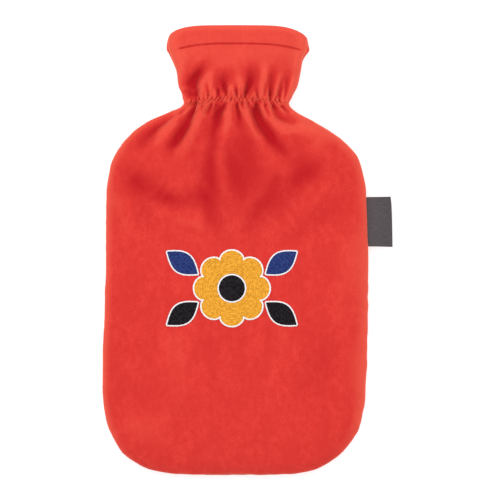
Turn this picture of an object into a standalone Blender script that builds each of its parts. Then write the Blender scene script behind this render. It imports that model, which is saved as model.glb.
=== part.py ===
"""Fleece hot water bottle cover, lying on its back and filled out as it is in use.

Two fleece panels, front and back, meet along a side seam that runs down both sides and round
the bottom. Elastic gathers both panels at the neck, above which they flare into an open collar
with a turned-down hem. A folded ribbon label sticks out of the right-hand seam, and the front
carries an applique flower with four leaves.

Frame: +Y runs from the bottom seam to the mouth, +Z out of the front, X across. The origin is on
the flat back, on the neck's centre line. The tables are in millimetres, the meshes in metres.
"""

import math
from collections import namedtuple

import bmesh
import bpy
import numpy as np

MM = 0.001

# ---------------------------------------------------------------- driving sizes, millimetres
WALL = 2.2  # fleece, pile included
HEM_WALL = 3.6  # two layers of fleece, pressed together
HEM_GROOVE = 0.7  # how far the hem stitching sinks into the pile
ELASTIC_GROOVE = 1.3  # how far the elastic's stitching does
SEAM_GAP = 0.3  # between the two panels' edges
PIECE_GAP = 0.3  # between a sewn-on piece and the cloth below it
FRONT_POWER = 2.6  # roundness of the front's roll-off towards the seam
BACK_POWER = 2.4
BACK_ROLL = 34.0  # width of the strip in which the back leaves the surface
EDGE_CROWDING = 0.6  # share of the columns' spacing that crowds towards the seam
FRONT_COLUMNS = 46
BACK_COLUMNS = 30
SEAM_SIDE_POINTS, SEAM_BOTTOM_POINTS = 240, 160  # on the line of the side seam

# Each section is one line across the cover: where it meets the side seam, where it crosses the
# middle, how square its bend is between the two, how far the seam lies left and right of the
# centre line, how much further along the cover its left end is, the seam's height above the
# surface, how far the front rises over it and the back drops under it, the width of the front's
# roll-off, how far the back spills out past the seam, and the mesh rows up to the next section.
Section = namedtuple("Section", "side_y mid_y square left right lift seam_z rise drop roll spill rows")
SECTIONS = [
    #       side_y  mid_y  square left  right lift seam_z rise  drop roll spill rows
    Section(-131.0, -151.0, 5.0, 91.2, 87.4, -2.9, 16.0, 19.0, 17.0, 70, 0, 1),
    Section(-128.0, -148.6, 5.0, 93.1, 90.2, -3.8, 16.0, 19.0, 17.0, 70, 0, 1),
    Section(-122.3, -143.0, 5.0, 98.5, 95.2, -1.0, 16.0, 19.0, 17.0, 70, 0, 1),
    Section(-112.5, -131.0, 5.0, 103.9, 100.6, 0, 16.0, 19.0, 17.0, 70, 0, 2),
    Section(-97.8, -110.0, 4.0, 107.4, 104.2, 0, 16.0, 19.5, 17.0, 70, 0, 2),
    Section(-75.0, -80.0, 3.0, 109.0, 106.4, 0, 16.0, 20.0, 17.0, 70, 0, 2),
    Section(-24.5, -24.5, 3.0, 107.6, 107.9, 0, 16.0, 20.5, 17.0, 70, 0, 1),
    Section(24.5, 24.5, 3.0, 106.4, 108.1, 0, 16.0, 20.5, 17.0, 70, 0, 1),
    Section(68.5, 70.0, 3.0, 106.2, 107.2, 0, 16.0, 20.0, 17.0, 68, 0, 2),
    Section(92.9, 98.0, 3.0, 104.2, 104.2, 0, 16.0, 19.2, 17.0, 64, 0, 2),
    Section(107.6, 116.0, 3.0, 100.0, 99.4, 0, 16.2, 18.6, 16.6, 60, 0, 2),
    Section(117.4, 127.0, 3.0, 94.0, 92.4, 0, 16.4, 18.0, 16.0, 56, 0, 2),
    Section(127.1, 135.5, 3.0, 85.6, 80.9, 0, 16.6, 17.1, 15.4, 52, 0, 2),
    Section(136.9, 143.2, 3.0, 72.6, 64.2, 0, 16.8, 16.1, 14.6, 48, 0, 2),
    Section(144.6, 149.6, 2.6, 55.6, 50.0, 0, 17.0, 16.1, 13.8, 44, 0, 2),
    Section(151.0, 156.0, 2.4, 43.0, 43.6, 0, 17.0, 16.2, 13.4, 42, 0, 2),
    Section(157.4, 162.6, 2.6, 43.8, 45.8, 0, 17.2, 16.4, 14.0, 42, 0, 2),
    Section(166.0, 171.6, 3.0, 45.8, 49.4, 0, 17.6, 17.0, 15.4, 46, 0, 2),
    Section(177.0, 182.8, 3.0, 47.4, 51.6, 0, 18.0, 18.6, 17.0, 50, 0.3, 2),
    Section(187.0, 193.2, 3.0, 50.6, 53.2, 0, 18.4, 19.4, 18.0, 52, 1.5, 2),
    Section(194.0, 200.4, 3.0, 53.2, 56.4, 0, 18.6, 20.0, 18.6, 54, 2.6, 1),
    Section(196.0, 202.4, 3.2, 53.8, 56.9, 0.2, 18.6, 20.2, 18.6, 54, 2.6, 1),
    Section(201.4, 208.4, 4.4, 54.6, 57.6, 1.2, 18.6, 20.2, 18.6, 54, 0.6, 1),
    Section(206.8, 215.4, 5.0, 52.0, 56.8, 3.2, 18.4, 19.8, 18.4, 54, 0.2, 1),
]
NECK_SECTION = 15  # carries the elastic
HEM_SECTION = 20  # carries the hem's stitching

# A fold is a valley along a curve through three points, with a low crest on either side. Its
# slopes reach a different distance to the left and to the right, both at the elastic.
Fold = namedtuple("Fold", "x0 y0 x1 y1 x2 y2 depth left right")
FRONT_FOLDS = [
    #    at the elastic   midway         far end        depth left right
    Fold(-50.0, 145.5, -66.5, 132.5, -83.0, 112.0, 3.0, 5.0, 4.0),
    Fold(-33.4, 150.0, -41.0, 134.0, -61.0, 106.0, 4.5, 5.6, 3.6),
    Fold(-12.2, 152.0, -15.5, 138.5, -25.0, 114.0, 3.2, 6.0, 3.2),
    Fold(0.4, 152.0, 1.8, 140.5, 9.5, 124.0, 1.8, 2.6, 3.0),
    Fold(16.0, 152.0, 24.4, 130.0, 60.0, 98.0, 4.0, 3.4, 4.2),
    Fold(30.0, 151.0, 36.5, 140.5, 54.0, 137.5, 3.0, 2.6, 3.6),
    Fold(-31.4, 156.0, -33.0, 170.0, -22.0, 187.0, 4.2, 5.2, 3.2),
    Fold(-11.5, 160.0, -11.5, 169.0, -8.6, 180.0, 2.8, 4.2, 3.6),
    Fold(7.0, 158.0, 12.0, 170.5, 10.5, 188.0, 2.9, 3.0, 4.2),
    Fold(28.0, 157.0, 28.6, 168.0, 32.4, 186.0, 3.3, 2.3, 2.6),
    Fold(34.6, 156.5, 37.8, 167.0, 44.0, 182.0, 2.9, 2.1, 2.3),
    # two long soft creases that run down to the flower
    Fold(-19.0, 122.0, -21.0, 88.0, -5.0, 41.0, 1.2, 7.0, 4.0),
    Fold(36.0, 96.0, 22.0, 63.0, 4.5, 41.0, 1.1, 4.0, 8.0),
]
BACK_FOLDS = [
    Fold(-36.0, 149.0, -52.0, 131.0, -72.0, 112.0, 2.2, 4.6, 4.6),
    Fold(-18.0, 151.5, -24.0, 130.0, -34.0, 104.0, 2.2, 4.4, 4.4),
    Fold(14.0, 152.0, 20.0, 132.0, 28.0, 106.0, 2.4, 4.2, 4.2),
    Fold(33.0, 149.5, 48.0, 130.0, 68.0, 112.0, 2.0, 4.6, 4.6),
    Fold(-26.0, 158.0, -28.0, 170.0, -30.0, 184.0, 2.0, 4.2, 4.2),
    Fold(-4.0, 160.0, -3.0, 170.0, -4.0, 182.0, 1.8, 4.0, 4.0),
    Fold(22.0, 159.0, 24.0, 170.0, 28.0, 183.0, 2.2, 4.0, 4.0),
]
FOLD_STEPS = 10  # straight pieces along each fold
FOLD_SPREAD = 0.9  # how much wider a fold is at its far end, as a share
CREST_SHARE = 0.45  # height of the crests over the fold's depth
START_SHARE = 0.16  # a fold deepens from half to full over half this share of its length
GROOVE_REACH = 0.5  # half width of a stitched groove, in sections
SEAM_CALM = 6.0  # the folds and grooves fade out this close to the seam

# Ribbon label in the right-hand seam, folded in half
LABEL_LOW_Y, LABEL_HIGH_Y = 35.5, 75.8
LABEL_OUT = 19.4  # how far it stands out of the seam
LABEL_LAYER = 0.6
LABEL_GAP = 0.5  # between its two layers
LABEL_DROOP = 2.0  # how far the folded end hangs below the seam
LABEL_ROWS = 6
LABEL_BEND_ANGLES = (60, 30, 0, -30, -60)  # degrees round its folded end

# Applique, sewn on the front
PATCH_THICK = 1.0
FLOWER_X, FLOWER_Y = -3.3, 1.6
FLOWER_RADIUS = 31.0
PETALS = 8
PETAL_NOTCH = 0.2  # depth of the notches between petals, as a share of the radius
PETAL_FULLNESS = 0.6  # the lower, the blunter the petals
CENTRE_RADIUS = 11.0
LEAF_ROOT_RADIUS = 29.5
LEAF_TIP_X, LEAF_TIP_Y = 53.0, 30.0  # from the middle of the flower
LEAF_WIDTH = 17.0

COLOURS = {
    "fleece": ((0.76, 0.045, 0.032, 1.0), 0.9),
    "label": ((0.085, 0.075, 0.08, 1.0), 0.6),
    "yellow": ((0.83, 0.33, 0.03, 1.0), 0.7),
    "blue": ((0.03, 0.055, 0.22, 1.0), 0.8),
    "black": ((0.008, 0.007, 0.009, 1.0), 0.8),
}


# ---------------------------------------------------------------- the cover's surface
def column(name):
    return np.array([getattr(section, name) for section in SECTIONS], float)


def smooth_through(values, at):
    """A Catmull-Rom curve through one value for each section, read at section numbers."""
    low = np.clip(np.floor(at).astype(int), 0, len(values) - 2)
    part = at - low
    padded = np.concatenate([[2 * values[0] - values[1]], values, [2 * values[-1] - values[-2]]])
    p0, p1, p2, p3 = (padded[low + k] for k in range(4))
    return 0.5 * (
        2 * p1
        + (p2 - p0) * part
        + (2 * p0 - 5 * p1 + 4 * p2 - p3) * part**2
        + (3 * p1 - p0 - 3 * p2 + p3) * part**3
    )


def section_rows():
    """Section numbers of the mesh's rows, from the bottom seam to the mouth."""
    rows = [i + k / s.rows for i, s in enumerate(SECTIONS[:-1]) for k in range(s.rows)]
    return np.array(rows + [len(SECTIONS) - 1.0])


def across(count):
    """Places across the cover from -1 at the left seam to 1 at the right, crowded at both."""
    even = np.linspace(-1, 1, count + 1)
    return (1 - EDGE_CROWDING) * even + EDGE_CROWDING * np.sin(even * math.pi / 2)


def plan(u, v):
    """Plan position of the point u across on section v."""
    side_y, mid_y, lift = (smooth_through(column(n), v) for n in ("side_y", "mid_y", "lift"))
    left, right = (smooth_through(column(n), v) for n in ("left", "right"))
    x = np.where(u < 0, u * left, u * right)
    # unequal halves have the same spacing at the centre line, so that they join smoothly
    x = x + (left - right) / 2 * (1 - np.abs(u)) ** 2 * np.abs(u)
    square = smooth_through(column("square"), v)
    side_y = side_y + np.where(u < 0, lift, 0)
    return x, mid_y + (side_y - mid_y) * np.abs(u) ** square


def seam_outline():
    """The seam line in plan: down the left side, along the bottom and up the right side."""
    v = np.linspace(len(SECTIONS) - 1, 0, SEAM_SIDE_POINTS)
    u = np.sin(np.linspace(-math.pi / 2, math.pi / 2, SEAM_BOTTOM_POINTS))
    left = np.stack(plan(-np.ones_like(v), v), 1)
    bottom = np.stack(plan(u, np.zeros_like(u)), 1)
    right = np.stack(plan(np.ones_like(v), v[::-1]), 1)
    return np.concatenate([left, bottom[1:-1], right])


def nearest_on(path, points):
    """Distance to a path, share of the path's length reached there, and the side, + on its left."""
    start, run = path[:-1], np.diff(path, axis=0)
    length = np.linalg.norm(run, axis=1)
    reached = np.concatenate([[0], np.cumsum(length)])
    offset = points[:, None] - start
    along = np.clip((offset * run).sum(2) / length**2, 0, 1)
    away = offset - along[..., None] * run
    distance = np.linalg.norm(away, axis=2)
    best = distance.argmin(1)
    row = np.arange(len(points))
    turn = run[best, 0] * offset[row, best, 1] - run[best, 1] * offset[row, best, 0]
    share = (reached[best] + along[row, best] * length[best]) / reached[-1]
    return distance[row, best], share, np.where(turn < 0, -1.0, 1.0)


def rounded(distance, roll, power):
    """Share of the full height reached at a distance in from the seam."""
    inward = np.clip(distance / roll, 0, 1)
    return (1 - (1 - inward) ** power) ** (1 / power)


def fold_path(fold):
    """Points on the parabola through a fold's start, middle and end."""
    t = np.linspace(0, 1, FOLD_STEPS + 1)[:, None]
    start, middle, end = np.array([[fold.x0, fold.y0], [fold.x1, fold.y1], [fold.x2, fold.y2]])
    handle = 2 * middle - (start + end) / 2
    return (1 - t) ** 2 * start + 2 * t * (1 - t) * handle + t**2 * end


def fold_relief(points, folds):
    """How far the folds move each plan point out of the cloth, in millimetres."""
    relief = np.zeros(len(points))
    for fold in folds:
        path = fold_path(fold)
        distance, share, side = nearest_on(path, points)
        right_side = side * (path[0, 1] - path[-1, 1]) > 0
        reach = np.where(right_side, fold.right, fold.left) * (1 + FOLD_SPREAD * share)
        valley = np.exp(-((distance / reach) ** 2))
        crest = CREST_SHARE * np.exp(-((distance / reach - 2) ** 2))
        fade = (1 - share**3) ** 2 * np.clip(0.5 + share / START_SHARE, 0, 1)
        relief += fold.depth * fade * (crest - valley)
    return relief


def cover_surface(u, v, front):
    """Outer surface of one panel at places u across on sections v, without its folds."""
    x, y = plan(u, v)
    distance, _, _ = nearest_on(seam_outline(), np.stack([x, y], 1))
    distance[(np.abs(u) == 1) | (v == 0)] = 0
    seam_z = smooth_through(column("seam_z"), v)
    if front:
        height = rounded(distance, smooth_through(column("roll"), v), FRONT_POWER)
        z = seam_z + SEAM_GAP / 2 + smooth_through(column("rise"), v) * height
    else:
        depth = rounded(distance, BACK_ROLL, BACK_POWER)
        z = np.maximum(seam_z - SEAM_GAP / 2 - smooth_through(column("drop"), v) * depth, 0)
        x = x + np.sign(u) * smooth_through(column("spill"), v) * 4 * depth * (1 - depth)
    return np.stack([x, y, z], 1), distance


def grid_normals(points, shape, front):
    """Outward directions of a surface given as rows of points; level along the seam."""
    grid = points.reshape(*shape, 3)
    along_v, along_u = np.gradient(grid, axis=0), np.gradient(grid, axis=1)
    normal = np.cross(along_u, along_v) * (1 if front else -1)
    normal[:, [0, -1]] = np.cross(along_v[:, [0, -1]], (0, 0, 1)) * np.array([-1, 1])[None, :, None]
    normal[0] = np.cross(along_u[0], (0, 0, 1))
    normal[0, 0] = normal[0, 1] + normal[1, 0]
    normal[0, -1] = normal[0, -2] + normal[1, -1]
    normal[0, :, 2] = 0
    return (normal / np.linalg.norm(normal, axis=2, keepdims=True)).reshape(-1, 3)


# ---------------------------------------------------------------- solids
def add_object(name, points, faces, material, smooth_angle=50):
    mesh = bpy.data.meshes.new(name)
    mesh.from_pydata([tuple(float(c) * MM for c in p) for p in points], [], faces)
    tidy = bmesh.new()
    tidy.from_mesh(mesh)
    bmesh.ops.recalc_face_normals(tidy, faces=tidy.faces)
    tidy.to_mesh(mesh)
    tidy.free()
    mesh.shade_smooth()
    mesh.set_sharp_from_angle(angle=math.radians(smooth_angle))
    mesh.materials.append(material)
    obj = bpy.data.objects.new(name, mesh)
    bpy.context.scene.collection.objects.link(obj)
    return obj


def shell_faces(rows, columns, offset):
    """Quads of two equal grids, the second starting at offset, and of the walls that join them."""
    faces = []
    for r in range(rows - 1):
        for c in range(columns - 1):
            a = r * columns + c
            quad = (a, a + 1, a + columns + 1, a + columns)
            faces += [quad, tuple(offset + k for k in reversed(quad))]
    edge = list(range(columns))
    edge += [r * columns + columns - 1 for r in range(1, rows)]
    edge += [(rows - 1) * columns + c for c in range(columns - 2, -1, -1)]
    edge += [r * columns for r in range(rows - 2, 0, -1)]
    faces += [(b, a, offset + a, offset + b) for a, b in zip(edge, edge[1:] + edge[:1])]
    return faces


def panel(name, folds, columns, front, material):
    """One fleece panel: body, neck and collar in one piece, its hem doubled at the mouth."""
    rows = section_rows()
    shape = (len(rows), columns + 1)
    v, u = (a.ravel() for a in np.meshgrid(rows, across(columns), indexing="ij"))
    outer, distance = cover_surface(u, v, front)
    normal = grid_normals(outer, shape, front)
    relief = fold_relief(outer[:, :2], folds)
    relief -= ELASTIC_GROOVE * np.exp(-(((v - NECK_SECTION) / GROOVE_REACH) ** 2))
    relief -= HEM_GROOVE * np.exp(-(((v - HEM_SECTION) / GROOVE_REACH) ** 2))
    relief *= np.clip(distance / SEAM_CALM, 0, 1)
    outer = outer + normal * relief[:, None]
    outer[:, 2] = np.maximum(outer[:, 2], 0)
    wall = WALL + (HEM_WALL - WALL) * np.clip((v - HEM_SECTION) / GROOVE_REACH, 0, 1)
    inner = outer - normal * wall[:, None]
    # neither panel crosses the level of the seam
    rim_z = np.repeat(outer.reshape(*shape, 3)[:, 0, 2], columns + 1)
    inner[:, 2] = np.maximum(inner[:, 2], rim_z) if front else np.minimum(inner[:, 2], rim_z)
    points = np.concatenate([outer, inner])
    return add_object(name, points, shell_faces(*shape, len(outer)), material)


def front_height(x, y):
    """Height of the front's outer surface in the middle of the body."""
    distance, _, _ = nearest_on(seam_outline(), np.stack([x, y], 1))
    v = np.interp(y, column("mid_y"), np.arange(len(SECTIONS)))
    read = {n: smooth_through(column(n), v) for n in ("seam_z", "rise", "roll")}
    height = rounded(distance, read["roll"], FRONT_POWER)
    return read["seam_z"] + SEAM_GAP / 2 + read["rise"] * height


def patch(name, outline, centre, rings, layer, material):
    """A flat piece of cloth sewn on the front, spoked from centre to its outline."""
    shares = np.linspace(0, 1, rings + 1)[1:]
    plan_points = [centre + share * (outline - centre) for share in shares]
    flat = np.concatenate([centre[None], *plan_points])
    base = front_height(*flat.T) + PIECE_GAP + layer * (PATCH_THICK + PIECE_GAP)
    low = np.column_stack([flat, base])
    high = np.column_stack([flat, base + PATCH_THICK])
    n, total = len(outline), len(flat)
    faces = []
    for k in range(n):
        following = (k + 1) % n
        for start, turn in ((0, 1), (total, -1)):
            faces.append((start, start + 1 + k, start + 1 + following)[::turn])
            for ring in range(rings - 1):
                a, b = start + 1 + ring * n + k, start + 1 + ring * n + following
                faces.append((a, a + n, b + n, b)[::turn])
        rim_a, rim_b = total - n + k, total - n + following
        faces.append((rim_a, rim_b, rim_b + total, rim_a + total))
    return add_object(name, np.concatenate([low, high]), faces, material)


def flower_outline(points=64):
    angle = np.linspace(0, 2 * math.pi, points, endpoint=False)
    lobe = np.abs(np.cos(angle * PETALS / 2)) ** PETAL_FULLNESS
    radius = FLOWER_RADIUS * (1 - PETAL_NOTCH + PETAL_NOTCH * lobe)
    return np.stack([FLOWER_X + radius * np.cos(angle), FLOWER_Y + radius * np.sin(angle)], 1)


def disc_outline(radius, points=28):
    angle = np.linspace(0, 2 * math.pi, points, endpoint=False)
    return np.stack([FLOWER_X + radius * np.cos(angle), FLOWER_Y + radius * np.sin(angle)], 1)


def leaf_outline(side, end, points=12):
    """A pointed leaf from beside the petals to its tip; side and end are 1 or -1."""
    middle = np.array([FLOWER_X, FLOWER_Y])
    tip = middle + np.array([side * LEAF_TIP_X, end * LEAF_TIP_Y])
    notch = math.pi / PETALS  # direction of the notch between the first two petals
    root = middle + LEAF_ROOT_RADIUS * np.array([side * math.cos(notch), end * math.sin(notch)])
    run = tip - root
    sideways = np.array([-run[1], run[0]]) / np.linalg.norm(run)
    t = np.linspace(0, 1, points + 1)[:, None]
    bow = LEAF_WIDTH / 2 * np.sin(math.pi * t)
    there = root + t * run + bow * sideways
    back = root + t * run - bow * sideways
    return np.concatenate([there[:-1], back[:0:-1]]), root + 0.5 * run


def label(material):
    """A ribbon folded in half, its cut ends at the seam and its fold outside."""
    ys = np.linspace(LABEL_LOW_Y, LABEL_HIGH_Y, LABEL_ROWS)
    v = np.interp(ys, column("side_y"), np.arange(len(SECTIONS)))
    seam_x = smooth_through(column("right"), v)
    seam_z = smooth_through(column("seam_z"), v)
    half = LABEL_LAYER + LABEL_GAP / 2
    reach = LABEL_OUT - half
    out = [0, reach / 3, 2 * reach / 3, reach]
    bend = [math.radians(a) for a in LABEL_BEND_ANGLES]
    section = [(x, half) for x in out]
    section += [(reach + half * math.cos(a), half * math.sin(a)) for a in bend]
    section += [(x, -half) for x in reversed(out)]
    section += [(x, -LABEL_GAP / 2) for x in out]
    section += [(reach, LABEL_GAP / 2)]
    section += [(x, LABEL_GAP / 2) for x in reversed(out[:-1])]
    points = []
    for y, x, z in zip(ys, seam_x, seam_z):
        for out_by, up in section:
            droop = LABEL_DROOP * (out_by / LABEL_OUT) ** 2
            points.append((x + PIECE_GAP + out_by, y, z + up - droop))
    n = len(section)
    faces = [
        (r * n + k, r * n + (k + 1) % n, (r + 1) * n + (k + 1) % n, (r + 1) * n + k)
        for r in range(len(ys) - 1)
        for k in range(n)
    ]
    faces += [tuple(range(n))[::-1], tuple(range((len(ys) - 1) * n, len(ys) * n))]
    return add_object("seam_label", points, faces, material, smooth_angle=40)


def cloth_material(name):
    colour, roughness = COLOURS[name]
    material = bpy.data.materials.new(name)
    material.use_nodes = True
    shader = material.node_tree.nodes["Principled BSDF"]
    shader.inputs["Base Color"].default_value = colour
    shader.inputs["Roughness"].default_value = roughness
    shader.inputs["Metallic"].default_value = 0.0
    return material


def main():
    for obj in list(bpy.data.objects):
        bpy.data.objects.remove(obj, do_unlink=True)
    cloth = {name: cloth_material(name) for name in COLOURS}
    panel("front_panel", FRONT_FOLDS, FRONT_COLUMNS, True, cloth["fleece"])
    panel("back_panel", BACK_FOLDS, BACK_COLUMNS, False, cloth["fleece"])
    label(cloth["label"])
    middle = np.array([FLOWER_X, FLOWER_Y])
    patch("flower_patch", flower_outline(), middle, 3, 0, cloth["yellow"])
    patch("flower_centre_patch", disc_outline(CENTRE_RADIUS), middle, 2, 1, cloth["black"])
    for height_name, end in (("upper", 1), ("lower", -1)):
        for side_name, side in (("left", -1), ("right", 1)):
            outline, leaf_middle = leaf_outline(side, end)
            colour = cloth["blue" if end > 0 else "black"]
            patch(f"leaf_patch_{height_name}_{side_name}", outline, leaf_middle, 1, 0, colour)


main()
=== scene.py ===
"""Fleece hot water bottle cover, dressed over its packed CAD model.

The tables repeat the part's own, in millimetres, so that each cloth lies on its solid. +Y runs
from the bottom seam to the mouth, +Z out of the front, X across. "u" counts across a panel, from
-1 at the left seam to 1 at the right, and "v" counts the sections along it.
"""

import math
from collections import namedtuple
from functools import lru_cache

import bpy
import numpy as np
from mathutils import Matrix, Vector


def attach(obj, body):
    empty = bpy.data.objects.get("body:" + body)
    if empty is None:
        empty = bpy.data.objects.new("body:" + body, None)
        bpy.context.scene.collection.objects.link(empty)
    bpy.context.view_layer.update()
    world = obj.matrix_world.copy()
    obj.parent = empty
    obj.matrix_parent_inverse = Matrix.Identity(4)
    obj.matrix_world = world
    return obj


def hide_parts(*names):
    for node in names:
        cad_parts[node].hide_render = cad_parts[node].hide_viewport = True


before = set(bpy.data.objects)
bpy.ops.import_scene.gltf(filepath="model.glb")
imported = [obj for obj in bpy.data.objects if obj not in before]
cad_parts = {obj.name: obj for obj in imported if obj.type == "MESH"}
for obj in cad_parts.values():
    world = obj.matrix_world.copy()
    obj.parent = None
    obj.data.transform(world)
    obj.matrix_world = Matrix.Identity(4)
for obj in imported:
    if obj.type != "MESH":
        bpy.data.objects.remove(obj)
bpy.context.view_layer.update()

bl_info = {
    "name": "Hot Water Bottle Cover",
    "version": (1, 0, 0),
    "blender": (4, 5, 0),
    "location": "3D View > Sidebar > Bottle Cover",
    "description": "Builds a fleece bottle cover with its gathers, sewing, applique and label",
    "category": "Object",
}

MM = 0.001

# ---------------------------------------------------------------- the part's own tables
SEAM_GAP = 0.3  # between the two panels' edges
FRONT_POWER = 2.6  # roundness of the front's roll-off towards the seam
BACK_POWER = 2.4
BACK_ROLL = 34.0  # width of the strip in which the back leaves the surface
EDGE_CROWDING = 0.6  # share of the columns' spacing that crowds towards the seam

# Each section is one line across the cover: where it meets the side seam, where it crosses the
# middle, how square its bend is between the two, how far the seam lies left and right of the
# centre line, how much further along the cover its left end is, the seam's height above the
# surface, how far the front rises over it and the back drops under it, the width of the front's
# roll-off, and how far the back spills past the seam.
Section = namedtuple("Section", "side_y mid_y square left right lift seam_z rise drop roll spill")
SECTION_ROWS = [
    (-131, -151, 5, 91.2, 87.4, -2.9, 16, 19, 17, 70, 0),
    (-128, -148.6, 5, 93.1, 90.2, -3.8, 16, 19, 17, 70, 0),
    (-122.3, -143, 5, 98.5, 95.2, -1, 16, 19, 17, 70, 0),
    (-112.5, -131, 5, 103.9, 100.6, 0, 16, 19, 17, 70, 0),
    (-97.8, -110, 4, 107.4, 104.2, 0, 16, 19.5, 17, 70, 0),
    (-75, -80, 3, 109, 106.4, 0, 16, 20, 17, 70, 0),
    (-24.5, -24.5, 3, 107.6, 107.9, 0, 16, 20.5, 17, 70, 0),
    (24.5, 24.5, 3, 106.4, 108.1, 0, 16, 20.5, 17, 70, 0),
    (68.5, 70, 3, 106.2, 107.2, 0, 16, 20, 17, 68, 0),
    (92.9, 98, 3, 104.2, 104.2, 0, 16, 19.2, 17, 64, 0),
    (107.6, 116, 3, 100, 99.4, 0, 16.2, 18.6, 16.6, 60, 0),
    (117.4, 127, 3, 94, 92.4, 0, 16.4, 18, 16, 56, 0),
    (127.1, 135.5, 3, 85.6, 80.9, 0, 16.6, 17.1, 15.4, 52, 0),
    (136.9, 143.2, 3, 72.6, 64.2, 0, 16.8, 16.1, 14.6, 48, 0),
    (144.6, 149.6, 2.6, 55.6, 50, 0, 17, 16.1, 13.8, 44, 0),
    (151, 156, 2.4, 43, 43.6, 0, 17, 16.2, 13.4, 42, 0),
    (157.4, 162.6, 2.6, 43.8, 45.8, 0, 17.2, 16.4, 14, 42, 0),
    (166, 171.6, 3, 45.8, 49.4, 0, 17.6, 17, 15.4, 46, 0),
    (177, 182.8, 3, 47.4, 51.6, 0, 18, 18.6, 17, 50, 0.3),
    (187, 193.2, 3, 50.6, 53.2, 0, 18.4, 19.4, 18, 52, 1.5),
    (194, 200.4, 3, 53.2, 56.4, 0, 18.6, 20, 18.6, 54, 2.6),
    (196, 202.4, 3.2, 53.8, 56.9, 0.2, 18.6, 20.2, 18.6, 54, 2.6),
    (201.4, 208.4, 4.4, 54.6, 57.6, 1.2, 18.6, 20.2, 18.6, 54, 0.6),
    (206.8, 215.4, 5, 52, 56.8, 3.2, 18.4, 19.8, 18.4, 54, 0.2),
]
SECTIONS = [Section(*row) for row in SECTION_ROWS]
NECK_SECTION = 15  # carries the elastic
HEM_SECTION = 20  # carries the hem's stitching
LIP_SECTION = len(SECTIONS) - 1  # the edge of the mouth
FINE_FROM_Y = 100.0  # the mesh is finer above this, where the gathers are

# A fold is a valley along a curve through three points, with a low crest on either side. Its
# slopes reach a different distance to the left and to the right, both at its start. Each row of
# a fold table has the places of its start, middle and end, its depth and the two reaches.
Fold = namedtuple("Fold", "x0 y0 x1 y1 x2 y2 depth left right")
FRONT_FOLDS = [
    (-50, 145.5, -66.5, 132.5, -83, 112, 3, 5, 4),
    (-33.4, 150, -41, 134, -61, 106, 4.5, 5.6, 3.6),
    (-12.2, 152, -15.5, 138.5, -25, 114, 3.2, 6, 3.2),
    (0.4, 152, 1.8, 140.5, 9.5, 124, 1.8, 2.6, 3),
    (16, 152, 24.4, 130, 60, 98, 4, 3.4, 4.2),
    (30, 151, 36.5, 140.5, 54, 137.5, 3, 2.6, 3.6),
    (-31.4, 156, -33, 170, -22, 187, 4.2, 5.2, 3.2),
    (-11.5, 160, -11.5, 169, -8.6, 180, 2.8, 4.2, 3.6),
    (7, 158, 12, 170.5, 10.5, 188, 2.9, 3, 4.2),
    (28, 157, 28.6, 168, 32.4, 186, 3.3, 2.3, 2.6),
    (34.6, 156.5, 37.8, 167, 44, 182, 2.9, 2.1, 2.3),
    # two long soft creases that run down to the flower
    (-19, 122, -21, 88, -5, 41, 1.2, 7, 4),
    (36, 96, 22, 63, 4.5, 41, 1.1, 4, 8),
]
BACK_FOLDS = [
    (-36, 149, -52, 131, -72, 112, 2.2, 4.6, 4.6),
    (-18, 151.5, -24, 130, -34, 104, 2.2, 4.4, 4.4),
    (14, 152, 20, 132, 28, 106, 2.4, 4.2, 4.2),
    (33, 149.5, 48, 130, 68, 112, 2, 4.6, 4.6),
    (-26, 158, -28, 170, -30, 184, 2, 4.2, 4.2),
    (-4, 160, -3, 170, -4, 182, 1.8, 4, 4),
    (22, 159, 24, 170, 28, 183, 2.2, 4, 4),
]
FOLD_STEPS = 10  # straight pieces along each fold
FOLD_SPREAD = 0.9  # how much wider a fold is at its far end, as a share
CREST_SHARE = 0.45  # height of the crests over the fold's depth
START_SHARE = 0.16  # a fold deepens from half to full over half this share of its length
SEAM_CALM = 6.0  # the folds and grooves fade out this close to the seam

LABEL_LOW_Y, LABEL_HIGH_Y = 35.5, 75.8
LABEL_OUT = 19.4  # how far it stands out of the seam
LABEL_IN = 1.2  # how far the seam holds it
LABEL_OFF = 0.3  # where it starts, out from the seam line
LABEL_GAP = 0.5  # between its two layers
LABEL_DROOP = 2.0  # how far the folded end hangs below the seam
LABEL_TWIST = 0.5  # how far one end of the fold stands above the other
LABEL_FLARE = 0.8  # how much wider the folded end is
LABEL_SELVEDGE = 0.12  # how much thicker the ribbon's woven edges are
LABEL_STEPS = 40  # mesh steps along the seam

FLOWER_X, FLOWER_Y = -3.3, 1.6
FLOWER_MIDDLE = np.array([FLOWER_X, FLOWER_Y])
FLOWER_RADIUS = 31.0
PETALS = 8
PETAL_NOTCH = 0.2  # depth of the notches between petals, as a share of the radius
PETAL_FULLNESS = 0.6  # the lower, the blunter the petals
CENTRE_RADIUS = 11.0
LEAF_ROOT_RADIUS = 29.5
LEAF_TIP_X, LEAF_TIP_Y = 53.0, 30.0  # from the middle of the flower
LEAF_WIDTH = 17.0

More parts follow.
